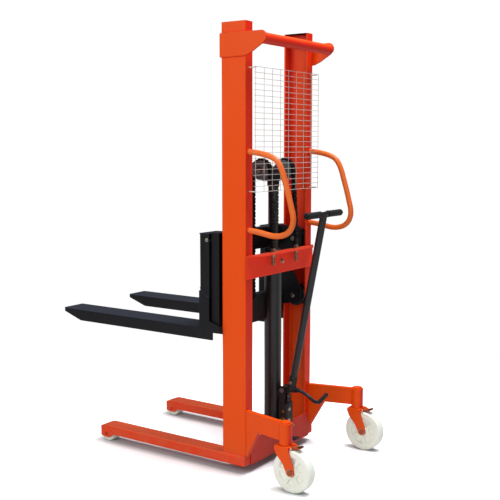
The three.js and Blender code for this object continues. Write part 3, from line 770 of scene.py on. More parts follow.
# (y, z) stations of the tube's centre line, from the upper end on the mast to the lower one
HANDLE = [(MAST_REAR - 12, 1391.5), (96, 1387.5), (130, 1382), (165, 1373), (194, 1360),
          (214, 1338), (230, 1305), (241, 1270), (256, 1222), (270, 1170), (280, 1128),
          (279, 1100), (268, 1074), (246, 1055), (214, 1045), (180, 1044), (145, 1050),
          (110, 1056), (MAST_REAR - 12, 1063)]
for side, sign in SIDES:
    x = sign * HANDLE_X
    mesh = sweep(spline([(x, y, z) for y, z in HANDLE], 5.0), HANDLE_R, 28)
    mesh = keep(mesh, box(sign * 200, sign * 300, MAST_REAR + 0.4, 330, 1000, 1430))
    part(f"handle_tube_{side}", mesh, ORANGE_TUBE, f"handle_{side}", sharp=40)
    weld(f"handle_welds_{side}", ORANGE,
         *(ring_bead(HANDLE_R + 0.4, 2.1, "y", (x, MAST_REAR + 1.6, z), seed)
           for z, seed in ((1390.4, sign), (1062.0, sign + 2))))

# ---------------------------------------------------------------- base and outrigger legs
mesh = add(box(-206.1, 206.1, -58, 66, 36, 46),
           slab("y", LEG_REAR + 0.5, 70.4, rect(-245, 245, 36, 150), [3, 3, 9, 9]))
part("base_plates", mesh, BASE_PAINTED_SHADE, "base_frame", bevel=0.9)

# (y, z) outlines: the leg's side, and the hollow under it, open at the bottom and tip
LEG_SIDE = fillet([(LEG_REAR, LEG_BOT), (LEG_REAR, LEG_TOP), (-754, LEG_TOP), (-784, 71),
                   (-790, 64), (-790, 39), (-785, 30), (-776, 24), (-762, 21), (-734, 21),
                   (-721, 24.5), (-711, 31), (-702, LEG_BOT)],
                  [1.5, 2, 30, 6, 5, 9, 7, 7, 14, 12, 8, 8, 8], 4)
LEG_HOLLOW = fillet([(LEG_REAR - 6, 0), (LEG_REAR - 6, 75.6), (-752, 75.6), (-781, 68),
                     (-785, 63), (-785, 46), (-820, 46), (-820, 0)],
                    [0, 3, 12, 4, 3, 0, 0, 0], 3)
LEG_WALL = 5


def leg_channel(sign):
    inner, outer, wall = sign * LEG_IN, sign * LEG_OUT, sign * LEG_WALL
    section = rect_up(inner, outer, 0, LEG_TOP)
    mesh = keep(prism("x", inner, outer, LEG_SIDE),
                slab("y", -850, 100, section, [0, 6.5, 6.5, 0]),
                toe_block(sign, inner, outer, 100, LEG_TIP, 12, 9, 0, 130))
    return cut(mesh, prism("x", inner + wall, outer - wall, LEG_HOLLOW),
               cylinder("x", 8.4, inner - wall, outer + wall, LOAD_Y, LOAD_R))


LOAD_ROLLER = symmetric([(-31, 8.5), (-31, 15), (-29.5, 15.5), (-29.5, 24), (-31, 24.6),
                         (-31, 31.5), (-30.2, 33.4), (-28, 36.2), (-26, LOAD_R)])
for side, sign in SIDES:
    part(f"leg_channel_{side}", leg_channel(sign), LEG_RED, f"outrigger_leg_{side}", bevel=0.8)
    centre = (sign * (LEG_IN + LEG_OUT) / 2, LOAD_Y, LOAD_R)
    end = -((LEG_OUT - LEG_IN) / 2 - 0.8)
    axle = symmetric([(end, 0), (end, 2.5), (end + 1.2, 3.2), (end + 1.2, 3.8), (end, 4.4),
                      (end, 7.2), (end + 0.8, 8)])
    part(f"load_axle_{side}", lathe(axle, "x", centre, 40), BASE_PAINTED_SHADE,
         f"load_roller_axle_{side}")
    part(f"load_roller_body_{side}", lathe(LOAD_ROLLER, "x", centre, 64), NYLON,
         f"load_roller_{side}", f"load_wheel_{side}")
    x, y, z = sign * (LEG_OUT - 5), -MAST_REAR - 2.0, LEG_TOP + 0.4
    beside = sign * (MAST_X + 1.6)
    weld(f"leg_weld_{side}", LEG_RED,
         bead([(x, -MAST_REAR + 2, z), (x - sign * 7, y, z), (sign * (LEG_IN + 14), y, z)],
              2.5, seed=1 + sign),
         bead([(beside, -MAST_REAR + 2, LEG_TOP + 0.6), (beside, MAST_REAR - 4, LEG_TOP + 0.6)],
              2.4, seed=5 + sign))

# ---------------------------------------------------------------- caster brackets
BRACKET_TOP = 285
# (y, z) outline of the arm from the mast to the swivel
ARM = fillet([(MAST_REAR, LEG_TOP + 0.6), (MAST_REAR + 8, LEG_TOP + 0.6), (138, 206),
              (SWIVEL_Y, 206), (SWIVEL_Y, BRACKET_TOP), (MAST_REAR, BRACKET_TOP)],
             [0, 2, 5, 0, 0, 0])
for side, sign in SIDES:
    x = sign * CASTER_X
    plan = [(sign * MAST_X, MAST_REAR + 0.4), (sign * (MAST_X - 24), MAST_REAR + 0.4),
            (sign * (CASTER_X - 14), SWIVEL_Y - 8), (sign * (CASTER_X + 10), SWIVEL_Y - 8)]
    mesh = keep(slab("z", 0, 400, plan, [1, 1, 0, 0], 3),
                prism("x", sign * 200, sign * 400, ARM))
    mesh = add(mesh, cylinder("z", 27, 195, BRACKET_TOP, x, SWIVEL_Y, 56))
    mesh = cut(mesh, cylinder("z", 15, 150, 320, x, SWIVEL_Y))
    part(f"caster_arm_{side}", mesh, ORANGE, f"caster_bracket_{side}", bevel=0.9, limit=48)
    beside, y = sign * (MAST_X + 0.6), MAST_REAR + 1.6
    weld(f"caster_arm_weld_{side}", ORANGE,
         bead([(beside, y, LEG_TOP + 6), (beside, y, 283)], 2.3, seed=sign),
         bead([(sign * (CASTER_X - 22), SWIVEL_Y - 22, 286.0),
               (sign * (CASTER_X + 12), SWIVEL_Y - 25.5, 286.0)], 2.0, seed=sign + 4))

# ---------------------------------------------------------------- casters
PLATE_LOW, PLATE_TOP = 184, 193.4       # fork's top plate
BRAKE_Y, BRAKE_Z = SWIVEL_Y + 40, 188   # brake hinge
POCKETS = 6


def caster_wheel():
    """Wheel about the origin with six blind pockets in each face."""
    mesh = lathe(symmetric([(-27, 8.3), (-27, 20.5), (-25.8, 22), (-22, 23.5), (-22, 62),
                            (-23.4, 64.5), (-25, 68), (-25, 84), (-23.6, 86.6), (-19, 89.6),
                            (-14, CASTER_R)]), "x", (0, 0, 0), 96)
    narrow, wide = math.radians(17), math.radians(22.5)
    for k in range(POCKETS):
        middle = 2 * math.pi * (k + 0.25) / POCKETS
        outline = [(radius * math.cos(middle + q), radius * math.sin(middle + q))
                   for radius, angles in ((60.5, np.linspace(-wide, wide, 7)),
                                          (30, np.linspace(narrow, -narrow, 5)))
                   for q in angles]
        outline = fillet(outline, [7] + [0] * 5 + [7] + [6] + [0] * 3 + [6])
        mesh = cut(mesh, prism("x", 13.5, 40.0, outline), prism("x", -40.0, -13.5, outline))
    tidy(mesh)
    return mesh


def caster_fork(x):
    """Top plate, two curved cheeks, a capped stem and two ears for the brake."""
    boss = [(TRAIL + 18 * math.cos(math.radians(q)), CASTER_R + 18 * math.sin(math.radians(q)))
            for q in np.linspace(30, -150, 13)]
    cheek = [(-36, PLATE_TOP), (30, PLATE_TOP), (33, 180), (41, 150), (57, 112)] + boss
    cheek += [(6, 122), (-27, 158), (-36, 180)]
    cheek = fillet(cheek, [4, 3, 14, 60, 30] + [0] * 13 + [60, 40, 14])
    cheek = [(SWIVEL_Y + a, b) for a, b in cheek]
    mesh = add(box(x - 34, x + 34, SWIVEL_Y - 36, SWIVEL_Y + 30, PLATE_LOW, PLATE_TOP),
               prism("x", x + 28, x + 34, cheek), prism("x", x - 34, x - 28, cheek))
    mesh = keep(mesh, box(x - 34, x + 34, SWIVEL_Y - 60, 600, 0, 400))
    cap = lathe([(285.5, 0), (285.5, 21), (290, 21), (291.6, 19.4), (292, 16), (292, 0)],
                "z", (x, SWIVEL_Y, 0), 48)
    ear = [(SWIVEL_Y + 22, 184.5), (SWIVEL_Y + 22, PLATE_TOP), (SWIVEL_Y + 42, PLATE_TOP),
           (SWIVEL_Y + 46, 188), (SWIVEL_Y + 42, 182.5), (SWIVEL_Y + 32, 182.5)]
    ears = [slab("x", x + end * 19.5, x + end * 24.5, ear, [0, 0, 4, 3, 4, 2], 4)
            for end in ENDS]
    mesh = add(mesh, cylinder("z", 14.4, 190, 289, x, SWIVEL_Y, 44), cap, *ears)
    return cut(mesh, cylinder("x", 8, x - 50, x + 50, AXLE_Y, CASTER_R, 36))


def axle_bolt(x):
    return add(cylinder("x", 7.4, x - 36, x + 38.5, AXLE_Y, CASTER_R, 32),
               hexagon(21, 6.4, "x", (x + 37.8, AXLE_Y, CASTER_R), 0, 1.4, 0.26),
               hexagon(21, 6.2, "x", (x - 37.7, AXLE_Y, CASTER_R), 0, 1.3, 0.6),
               lathe([(-40.5, 0), (-40.5, 5.5), (-39.6, 6.4), (-37, 6.4), (-37, 0)], "x",
                     (x, AXLE_Y, CASTER_R), 28))


def brake_pedal(x):
    """Curved plate on a hinge barrel."""
    side_view = [(SWIVEL_Y + 38, 184.2), (SWIVEL_Y + 62, 186.5), (SWIVEL_Y + 80, 192),
                 (SWIVEL_Y + 80, 197), (SWIVEL_Y + 62, 192.5), (SWIVEL_Y + 38, 192)]
    mesh = add(cylinder("x", 6, x - 18.5, x + 18.5, BRAKE_Y, BRAKE_Z, 32),
               slab("x", x - 16, x + 16, side_view, [0, 20, 1, 1.5, 20, 0]))
    plan = [(x - 19, SWIVEL_Y + 20), (x + 19, SWIVEL_Y + 20), (x + 16, SWIVEL_Y + 80),
            (x - 16, SWIVEL_Y + 80)]
    mesh = keep(mesh, slab("z", 170, 210, plan, [0, 0, 7, 7]))
    return cut(mesh, cylinder("x", 3.2, x - 30, x + 30, BRAKE_Y, BRAKE_Z, 24))


def brake_pad(x):
    plan = [(x - 15, SWIVEL_Y + 63), (x + 15, SWIVEL_Y + 63), (x + 14.5, SWIVEL_Y + 79.3),
            (x - 14.5, SWIVEL_Y + 79.3)]
    side_view = [(SWIVEL_Y + 60, 190.6), (SWIVEL_Y + 79.6, 196.4), (SWIVEL_Y + 79.0, 199.4),
                 (SWIVEL_Y + 60, 194.4)]
    return keep(slab("z", 180, 202, plan, [2, 2, 6.5, 6.5]),
                prism("x", x - 20, x + 20, side_view))


wheel_mesh = caster_wheel()
for side, sign in SIDES:
    x = sign * CASTER_X
    caster, wheel = f"caster_{side}", f"wheel_{side}"
    axle = (x, AXLE_Y, CASTER_R)
    mesh = wheel_mesh.copy()
    spin = Matrix.Rotation(math.radians(14 if sign > 0 else -9), 4, "X")
    mesh.transform(Matrix.Translation(axle) @ spin)
    part(wheel, mesh, NYLON, f"caster_wheel_{side}", wheel, bevel=1.0, limit=45, sharp=30,
         clean=False)
    # one bearing face, (distance out from the wheel's middle, radius)
    bearing = [(24.2, 9.2), (26.8, 9.2), (27.4, 9.8), (27.4, 12.5), (26.6, 13), (26.6, 17.0),
               (27.4, 17.4), (27.4, 19), (24.2, 19)]
    mesh = joined([lathe([(end * a, b) for a, b in bearing], "x", axle, 44) for end in ENDS])
    part(f"wheel_bearings_{side}", mesh, STEEL, body=wheel)
    part(f"caster_fork_frame_{side}", caster_fork(x), ORANGE, f"caster_fork_{side}", caster,
         bevel=0.9, limit=48)
    mesh = lathe(symmetric([(-26, 0), (-26, 4), (-25, 4.4), (-24.6, 2.8)]), "x",
                 (x, BRAKE_Y, BRAKE_Z), 24)
    part(f"caster_brake_pin_{side}", mesh, ZINC, body=caster)
    mesh = lathe([(193.5, 15.2), (193.5, 25.5), (194.2, 26.2), (194.6, 26.2), (194.6, 15.2)],
                 "z", (x, SWIVEL_Y, 0), 48)
    part(f"caster_race_{side}", mesh, STEEL, body=caster)
    part(f"caster_axle_bolt_{side}", axle_bolt(x), BOLT_ORANGE, f"caster_axle_{side}", caster,
         bevel=0.3)
    washers = [washer(8.2, 14.5, 0.9, "x", (x + end * 34.0 + end * 0.6, AXLE_Y, CASTER_R))
               for end in ENDS]
    part(f"caster_washers_{side}", joined(washers), ZINC, body=caster)
    part(f"brake_pedal_{side}", brake_pedal(x), BOLT_ORANGE, f"caster_brake_{side}",
         f"brake_{side}", bevel=0.5)
    part(f"brake_pad_{side}", brake_pad(x), RUBBER, body=f"brake_{side}", bevel=0.6)

# ---------------------------------------------------------------- hydraulic cylinder
# lathe profiles here are (z, radius) about the ram's axis
RAM_AXIS = (0, RAM_Y, 0)
mesh = lathe([(46.4, 0), (46.4, 40.0), (47.0, 40.6), (60.5, 40.6), (62, 39.8), (63.5, 39.0),
              (66, CYLINDER_R), (906, CYLINDER_R), (907.5, 39.1), (909, 39.2), (927, 39.2),
              (930, 38.2), (930, 28), (66, 28), (66, 0)], "z", RAM_AXIS, 72)
part("cylinder_tube", mesh, BLACK_GLOSS, "hydraulic_cylinder", sharp=30)
weld("cylinder_foot_weld", BLACK_GLOSS,
     ring_bead(CYLINDER_R + 0.4, 2.3, "z", (0, RAM_Y, 63.4), 2.0))
mesh = joined([thread(5.2, 18, "y", (0, 62.5, 906), 1.5, 22),
               hexagon(17, 8, "y", (0, 73.4, 906), 5.3, 1.1),
               washer(5.8, 10.5, 0.9, "y", (0, 68.9, 906))])
part("cylinder_stud", mesh, ZINC)
mesh = lathe([(930.4, 23.1), (930.4, 37.2), (931.4, 38.7), (934, 38.7), (934.8, 37.5),
              (936, 37.5), (936.8, 38.7), (952, 38.7), (954.5, 37.2), (958, 31.5),
              (958, 23.1)], "z", RAM_AXIS, 64)
part("gland_nut", mesh, DARK_STEEL, "cylinder_gland")
mesh = lathe([(958.2, 23.0), (958.2, 30.0), (960.2, 29.1), (961.6, 25.1), (961.6, 23.0)],
             "z", RAM_AXIS)
part("gland_wiper", mesh, RUBBER)

# ---------------------------------------------------------------- ram rod, yoke and sheaves
mesh = lathe([(340, 0), (340, 26.4), (341, 27.2), (348, 27.2), (349, 25.8), (352, 25.8),
              (353, 27.2), (381, 27.2), (382, 26.4), (382, ROD_R), (1236.4, ROD_R),
              (1237.6, 21.3), (1237.6, 0)], "z", RAM_AXIS, 72)
part("ram_rod", mesh, CHROME, "piston_rod", "ram")
mesh = add(slab("x", -70, 70, rect(RAM_Y - 17, RAM_Y + 17, 1262, 1300), [5, 5, 8, 8], 6),
           cylinder("x", 16, -70, 70, RAM_Y, WHEEL_Z, 56),
           lathe([(1238, 0), (1238, 25.8), (1239.2, 27), (1266, 27), (1266, 0)], "z", RAM_AXIS))
mesh = cut(mesh, cylinder("x", 12.5, -90, 90, RAM_Y, WHEEL_Z))
part("ram_yoke", mesh, BLACK, "chain_yoke", "ram", bevel=1.2, limit=48)
arcs = [ring_bead(27.4, 1.8, "z", (0, RAM_Y, 1261.4), seed, math.pi * first, math.pi * last)
        for seed, first, last in ((8.0, 0.22, 0.78), (9.0, -0.78, -0.22))]
seams = [bead([(-66, RAM_Y + end * 13.2, 1300.6), (66, RAM_Y + end * 13.2, 1300.6)], 2.0,
              seed=end) for end in ENDS]
weld("ram_yoke_welds", BLACK, *arcs, *seams, body="ram")
NIPPLE = [(1325, 0), (1325, 3.4), (1328.4, 3.4), (1329.2, 2.2), (1331, 2.2), (1332.2, 2.9),
          (1333.4, 2.2), (1333.8, 0)]
mesh = joined([lathe(NIPPLE, "z", (end * 44, RAM_Y, 0), 20) for end in ENDS])
part("ram_yoke_nipples", mesh, BRASS, body="ram")
SHAFT = symmetric([(-115, 0), (-115, 11), (-114.4, 12), (-113.9, 12), (-113.9, 11.2),
                   (-112.9, 11.2), (-112.9, 12)])
part("sheave_shaft", lathe(SHAFT, "x", (0, RAM_Y, WHEEL_Z), 44), STEEL, "chain_wheel_shaft",
     "ram")
clips = [washer(11.3, 15.2, 1.0, "x", (end * 113.4, RAM_Y, WHEEL_Z)) for end in ENDS]
part("sheave_shaft_clips", joined(clips), DARK_STEEL, body="ram")

TREAD_R = PITCH_R - CHAIN_T / 2 - 0.7
SHEAVE_PROFILE = symmetric([(-16.5, 12.6), (-16.5, 24.5), (-15.4, 25.2), (-15.4, 33.0),
                            (-16.5, 33.7), (-16.5, 40.6), (-15.6, 41.5), (-14.2, 41.5),
                            (-13.3, 40.6), (-13.3, TREAD_R)])
# one bearing face, (distance out from the sheave's middle, radius)
SHEAVE_BEARING = [(16.6, 13.0), (17.2, 13.2), (17.2, 17.0), (16.9, 17.6), (16.9, 22.4),
                  (17.2, 22.8), (17.2, 24.0), (16.6, 24.2)]
for side, sign in SIDES:
    centre = (sign * CHAIN_X, RAM_Y, WHEEL_Z)
    sheave = f"sheave_{side}"
    part(sheave, lathe(SHEAVE_PROFILE, "x", centre, 80), SHEAVE, f"chain_wheel_{side}", sheave)
    faces = [lathe([(end * a, b) for a, b in SHEAVE_BEARING], "x", centre) for end in ENDS]
    part(f"sheave_bearing_{side}", joined(faces), SHEAVE, body=sheave)

# ---------------------------------------------------------------- leaf chains and anchors
LINK = 15.875                           # distance between pins
PLATE_HALF_H, PLATE_THICK, PLATE_WAIST = 7.4, 2.35, 4.9
PLATE_ROWS = ((-8.55, -3.2, 3.2, 8.55), (-11.2, -5.9, 0.1, 5.9))    # x of alternate links
PIN_R, PIN_HALF = 2.6, 12.45
ARC_LINKS, REAR_LINKS, FRONT_LINKS = 9, 19, 34


def plate_outline():
    """(along the strand, across it) outline of one waisted link plate."""
    outline = []
    for end, first, last in ((1, -75, 75), (-1, 105, 255)):
        for q in np.linspace(first, last, 11):
            q = math.radians(q)
            outline.append((end * (LINK / 2 - 0.6) + (PLATE_HALF_H - 0.2) * math.cos(q) * 0.96,
                            PLATE_HALF_H * math.sin(q)))
        outline.append((0.0, end * PLATE_WAIST))
    return outline


OUTLINE = plate_outline()


def chain(pins, x, first=0):
    """Laced plates between successive (y, z) pins; first picks the starting row."""
    verts, faces = [], []

    def solid(ring, x0, x1):
        o, n = len(verts), len(ring)
        verts.extend((at, p, q) for at in (x0, x1) for p, q in ring)
        faces.append(tuple(o + k for k in range(n)))
        faces.append(tuple(o + 2 * n - 1 - k for k in range(n)))
        faces.extend((o + k, o + (k + 1) % n, o + n + (k + 1) % n, o + n + k)
                     for k in range(n))

    half = PLATE_THICK / 2
    for i, ((y0, z0), (y1, z1)) in enumerate(zip(pins[:-1], pins[1:])):
        y, z = (y0 + y1) / 2, (z0 + z1) / 2
        way = Vector((y1 - y0, z1 - z0))
        fit = way.length / LINK
        way.normalize()
        ring = [(y + way.x * a * fit - way.y * b, z + way.y * a * fit + way.x * b)
                for a, b in OUTLINE]
        for offset in PLATE_ROWS[(i + first) % 2]:
            solid(ring, x + offset - half, x + offset + half)
    for y, z in pins:
        solid(circle(PIN_R, 12, y, z), x - PIN_HALF, x + PIN_HALF)
    return from_data(verts, faces)


def strand(name, mesh, low, high, z_low, z_high, node):
    thing = dress(name, mesh, CHAIN)
    stretch(thing, low, high, z_low, z_high)
    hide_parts(node)


STRAND_TOP, REAR_LOW, FRONT_LOW = 1.3097, 1.001, 0.770      # heights, metres
for side, sign in SIDES:
    x = sign * CHAIN_X
    angles = [math.pi * k / ARC_LINKS for k in range(ARC_LINKS + 1)]
    pins = [(RAM_Y + PITCH_R * math.cos(q), WHEEL_Z + PITCH_R * math.sin(q)) for q in angles]
    part(f"chain_over_wheel_{side}", chain(pins, x), CHAIN, f"lift_chain_arc_{side}", "ram",
         clean=False)
    low, high = STRAND_Z + 7.5, WHEEL_Z - 0.4
    heights = [low + (high - low) * k / REAR_LINKS for k in range(REAR_LINKS + 1)]
    pins = [(ANCHOR_Y + (RAM_Y + PITCH_R - ANCHOR_Y) * (z - STRAND_Z) / (WHEEL_Z - STRAND_Z), z)
            for z in heights]
    strand(f"chain_behind_{side}", chain(pins, x, REAR_LINKS % 2), "frame", "ram", REAR_LOW,
           STRAND_TOP, f"lift_chain_rear_{side}")
    low = 777.5
    pins = [(CHAIN_Y, low + (WHEEL_Z - 0.4 - low) * k / FRONT_LINKS)
            for k in range(FRONT_LINKS + 1)]
    strand(f"chain_front_{side}", chain(pins, x, (ARC_LINKS + FRONT_LINKS + 1) % 2),
           "carriage", "ram", FRONT_LOW, STRAND_TOP, f"lift_chain_front_{side}")
    # anchor through the crossbeam: threaded rod, clevis block and pin, nuts above and below
    mesh = joined([thread(7.6, 72, "z", (x, ANCHOR_Y, 898), 2.0, 28),
                   cylinder("z", 7.2, 969.2, 972, x, ANCHOR_Y, 28)])
    part(f"anchor_bolt_{side}", mesh, ZINC, f"chain_anchor_{side}", clean=False)
    mesh = slab("z", 972, 1000.7, rect(x - 10, x + 10, ANCHOR_Y - 8, ANCHOR_Y + 8), 3, 4)
    part(f"anchor_clevis_{side}", mesh, CHAIN, bevel=0.9)
    mesh = lathe(symmetric([(-12.6, 0), (-12.6, 4.2), (-12.0, 4.8)]), "x",
                 (x, ANCHOR_Y, 992), 24)
    part(f"anchor_clevis_pin_{side}", mesh, DARK_STEEL)
    mesh = joined([hexagon(19, 12.4, "z", (x, ANCHOR_Y, 962.8), 7.8, 1.3, 0.5),
                   washer(8.0, 13.5, 1.2, "z", (x, ANCHOR_Y, 955.9))])
    part(f"anchor_nuts_{side}", mesh, BRONZE)
    mesh = joined([hexagon(19, 10.5, "z", (x, ANCHOR_Y, 940.8), 7.8, 1.3, 0.2),
                   washer(8.0, 13.5, 1.2, "z", (x, ANCHOR_Y, 947.0)),
                   hexagon(18, 9, "z", (x, ANCHOR_Y, 905.5), 7.8, 1.2, 0.4)])
    part(f"anchor_lock_nuts_{side}", mesh, BRONZE)

# ---------------------------------------------------------------- carriage
# (x, z) front plate, (y, z) roller plate and (y, z) chain lug
FRONT_PLATE = [(-285, 1045), (-285, 626), (-203, 626), (-203, 613), (203, 613), (203, 626),
               (285, 626), (285, 1045)]
ROLLER_PLATE = fillet([(-106, 640), (-106, 1045), (30, 1045), (45, 1030), (45, 930), (-6, 905),
                       (-6, 840), (34, 767), (48, 730), (43, 700), (28, 688), (-60, 668)],
                      [0, 0, 10, 10, 14, 22, 30, 30, 16, 10, 12, 30])
CHAIN_LUG = fillet([(-78, 732), (-8, 740), (-8, 768), (-36, 768), (-78, 740)],
                   [0, 8, 8, 8, 0], 4)
ROLLERS = (("upper", ROLLER_UP), ("lower", ROLLER_LOW))


def carriage_frame():
    front = cut(slab("y", -112, -100, FRONT_PLATE, [5, 5, 2, 2, 2, 2, 5, 5], 4),
                slab("y", -130, -90, rect(-200, 200, 740, 949), 6, 4))
    pieces = []
    for end in ENDS:
        pieces += [box(end * 277, end * 285, -112, -70, 626, 1045),
                   prism("x", end * 205, end * 217, ROLLER_PLATE),
                   prism("x", end * (CHAIN_X - 6), end * (CHAIN_X + 6), CHAIN_LUG)]
    pieces += [box(-285, 285, -112, -70, 1037, 1045), box(-217, 217, -80, -72, 949, 1045),
               box(-203, 203, -112, -72, 732, 740), box(-203, 203, -80, -72, 613, 740)]
    pieces += [cylinder("x", 14, end * 214, end * 261, 0, z, 44)
               for end in ENDS for _, z in ROLLERS]
    return add(front, *pieces)


part("carriage_frame", carriage_frame(), BLACK, "fork_carriage", "carriage", bevel=0.9,
     limit=48)
seams = []
for end in ENDS:
    outer, inner, lug = end * 218.6, end * 203.6, end * (CHAIN_X + 7.2)
    seams += [bead([(outer, -98.6, 660), (outer, -98.6, 1030)], 2.4, seed=end),
              bead([(inner, -98.6, 746), (inner, -98.6, 943)], 2.4, seed=end + 2),
              ring_bead(14.6, 2.0, "x", (end * 217.8, 0, ROLLER_UP), end + 1),
              ring_bead(14.6, 2.0, "x", (end * 217.8, 0, ROLLER_LOW), end + 5),
              bead([(lug, -71.4, 733), (lug, -71.4, 741)], 1.8, 0.8, seed=end + 9)]
weld("carriage_welds", BLACK, *seams, body="carriage")
STUB_END = [(204.6, 0), (204.6, 10.5), (201.4, 10.5), (200.4, 9.4), (200.4, 0)]
mesh = joined([lathe([(end * a, b) for a, b in STUB_END], "x", (0, 0, z), 32)
               for end in ENDS for _, z in ROLLERS])
part("roller_stub_ends", mesh, ZINC, body="carriage")

MAST_ROLLER = symmetric([(-15, 14.6), (-15, 20.5), (-13.2, 21), (-13.2, 40), (-15, 40.6),
                         (-15, 47), (-14.4, 49.2), (-12, 51.6), (-10, ROLLER_R)])
for side, sign in SIDES:
    x = sign * CHAIN_X
    mesh = lathe(symmetric([(-13.5, 0), (-13.5, 5), (-12.8, 5.6)]), "x", (x, CHAIN_Y, 757), 28)
    part(f"chain_pin_{side}", mesh, ZINC, body="carriage")
    cheek = rect(CHAIN_Y - 7.5, CHAIN_Y + 7.5, 749, 784)
    mesh = joined([slab("x", x + a, x + b, cheek, [6, 6, 5, 5])
                   for a, b in ((-11.9, -7.6), (7.6, 11.9))])
    part(f"chain_clevis_{side}", mesh, DARK_STEEL, body="carriage",
         bevel=0.5)
    for where, z in ROLLERS:
        part(f"roller_{where}_{side}", lathe(MAST_ROLLER, "x", (sign * 243.5, 0, z), 72),
             DARK_STEEL, f"mast_roller_{where}_{side}", f"roller_{where}_{side}")
        button = [(-1.6, 0), (-1.6, 3.4), (-0.4, 4), (0.9, 3.2), (1.6, 1.6), (1.6, 0)]
        mesh = joined([washer(14.1, 18.0, 1.2, "x", (sign * 259.6, 0, z)),
                       lathe(button, "x", (sign * 261.8, 0, z), 24)])
        part(f"roller_clip_{where}_{side}", mesh, DARK_STEEL, body="carriage")

# ---------------------------------------------------------------- forks
FORK_BOLT_Y, FORK_BOLT_Z = -121, 1014
# (y, z) outlines: blade with its heel, the hollow inside it, and the tab behind the heel
BLADE = fillet([(FORK_TIP, FORK_TOP), (FORK_TIP, 617), (-888, FORK_BOT), (-94.5, FORK_BOT),
                (-94.5, 604), (SHANK_REAR, 604), (SHANK_REAR, 766), (-122, 766),
                (SHANK_FRONT, 805), (SHANK_FRONT, FORK_TOP)],
               [3, 5, 18, 3, 2, 0, 0, 6, 10, 3])
BLADE_HOLLOW = [(-877, 570), (-877, 577), (-993.5, 621), (-993.5, 623.5), (-161, 623.5),
                (-161, 840), (-80, 840), (-80, 570)]
TAB = fillet([(SHANK_REAR - 6, 600), (-94.6, 600), (-94.6, 611), (-58, 611), (-58, 640),
              (SHANK_REAR - 6, 660)], [0, 0, 3, 8, 10, 0])


def fork_shell(sign):
    """Hollow blade and heel, trimmed to rounded sections, with a boxed shank on top."""
    def inner(inset):
        return sign * (FORK_IN + inset)

    def outer(inset):
        return sign * (FORK_OUT - inset)

    mesh = cut(prism("x", inner(0), outer(0), BLADE),
               prism("x", inner(6), outer(6), BLADE_HOLLOW))
    sections = add(slab("y", -1100, -165, rect_up(inner(0), outer(0), 400, FORK_TOP),
                        [0, 7, 7, 0]),
                   prism("y", -176, -60, rect_up(inner(0), outer(0), 500, 900)))
    mesh = keep(mesh, sections)
    plans = add(slab("z", 600, 900, rect_up(inner(0), outer(0), -60, SHANK_FRONT),
                     [0, 6, 6, 0]),
                box(inner(-1), outer(-1), -1100, -60, 500, FORK_TOP + 0.01))
    mesh = keep(mesh, plans)
    mesh = add(mesh, prism("x", outer(6), outer(0), TAB))
    mesh = keep(mesh, toe_block(sign, inner(0), outer(0), 0, FORK_TIP, 9, 8, 500, 1100))
    shank = slab("z", 740, SHANK_TOP - 2,
                 rect_up(inner(3), outer(3), SHANK_REAR, SHANK_FRONT + 5), [0, 7, 7, 0])
    shank = cut(shank,
                box(inner(9), outer(9), SHANK_FRONT + 13, SHANK_REAR + 10, 700, 1200),
                prism("x", inner(9), outer(9),
                      rect_up(SHANK_FRONT - 10, SHANK_FRONT + 16, 700, 780)))
    cap = slab("z", SHANK_TOP - 4, SHANK_TOP,
               rect_up(inner(1), outer(1), SHANK_REAR, SHANK_FRONT + 2), [0, 8, 8, 0])
    mesh = add(mesh, shank, cap)
    return cut(mesh, cylinder("x", 5.4, sign * 280, sign * 310, FORK_BOLT_Y, FORK_BOLT_Z, 28))


for side, sign in SIDES:
    part(f"fork_plate_{side}", fork_shell(sign), BLACK, f"fork_{side}", "carriage", bevel=0.9,
         limit=48)
    outer, inner = sign * (FORK_OUT - 2.4), sign * (FORK_IN + 2.4)
    seams = [bead([(x, SHANK_REAR - 2, 766.8), (x, -122, 767.0), (x, SHANK_FRONT + 6, 804.6)],
                  2.2, seed=seed) for seed, x in ((1 + sign, outer), (4 + sign, inner))]
    y, z = SHANK_FRONT + 4.2, 805.8
    seams.append(bead([(inner, y, z), (outer, y, z)], 2.2, seed=7 + sign))
    y, z = SHANK_FRONT - 0.4, FORK_TOP + 0.6
    seams.append(bead([(sign * (FORK_IN + 6), y, z), (sign * (FORK_OUT - 6), y, z)], 2.6,
                      seed=9 + sign))
    weld(f"fork_welds_{side}", BLACK, *seams, body="carriage")
    mesh = add(cylinder("x", 4.9, sign * 288, sign * 300, FORK_BOLT_Y, FORK_BOLT_Z, 24),
               hexagon(16, 5.6, "x", (sign * (FORK_OUT + 0.5), FORK_BOLT_Y, FORK_BOLT_Z),
                       0, 1.2, 0.2),
               hexagon(16, 6.4, "x", (sign * 288.3, FORK_BOLT_Y, FORK_BOLT_Z), 0, 1.2, 0.5))
    part(f"fork_fastener_{side}", mesh, ZINC, f"fork_bolt_{side}", "carriage", bevel=0.3)

# ---------------------------------------------------------------- pump
PLUNGER_Y = 108
RELEASE_Y, RELEASE_Z = 101, 106         # release pedal hinge
# (y, z) outlines of the ears for the lever pivot above and the release pedal below
PIVOT_EAR = fillet([(74, 250), (101, 250), (101, 334), (95, 340), (80, 340), (74, 334)],
                   [0, 0, 8, 8, 8, 8])
RELEASE_EAR = fillet([(91, 119), (91, 97), (111, 97), (111, 119)], [0, 7, 7, 0])


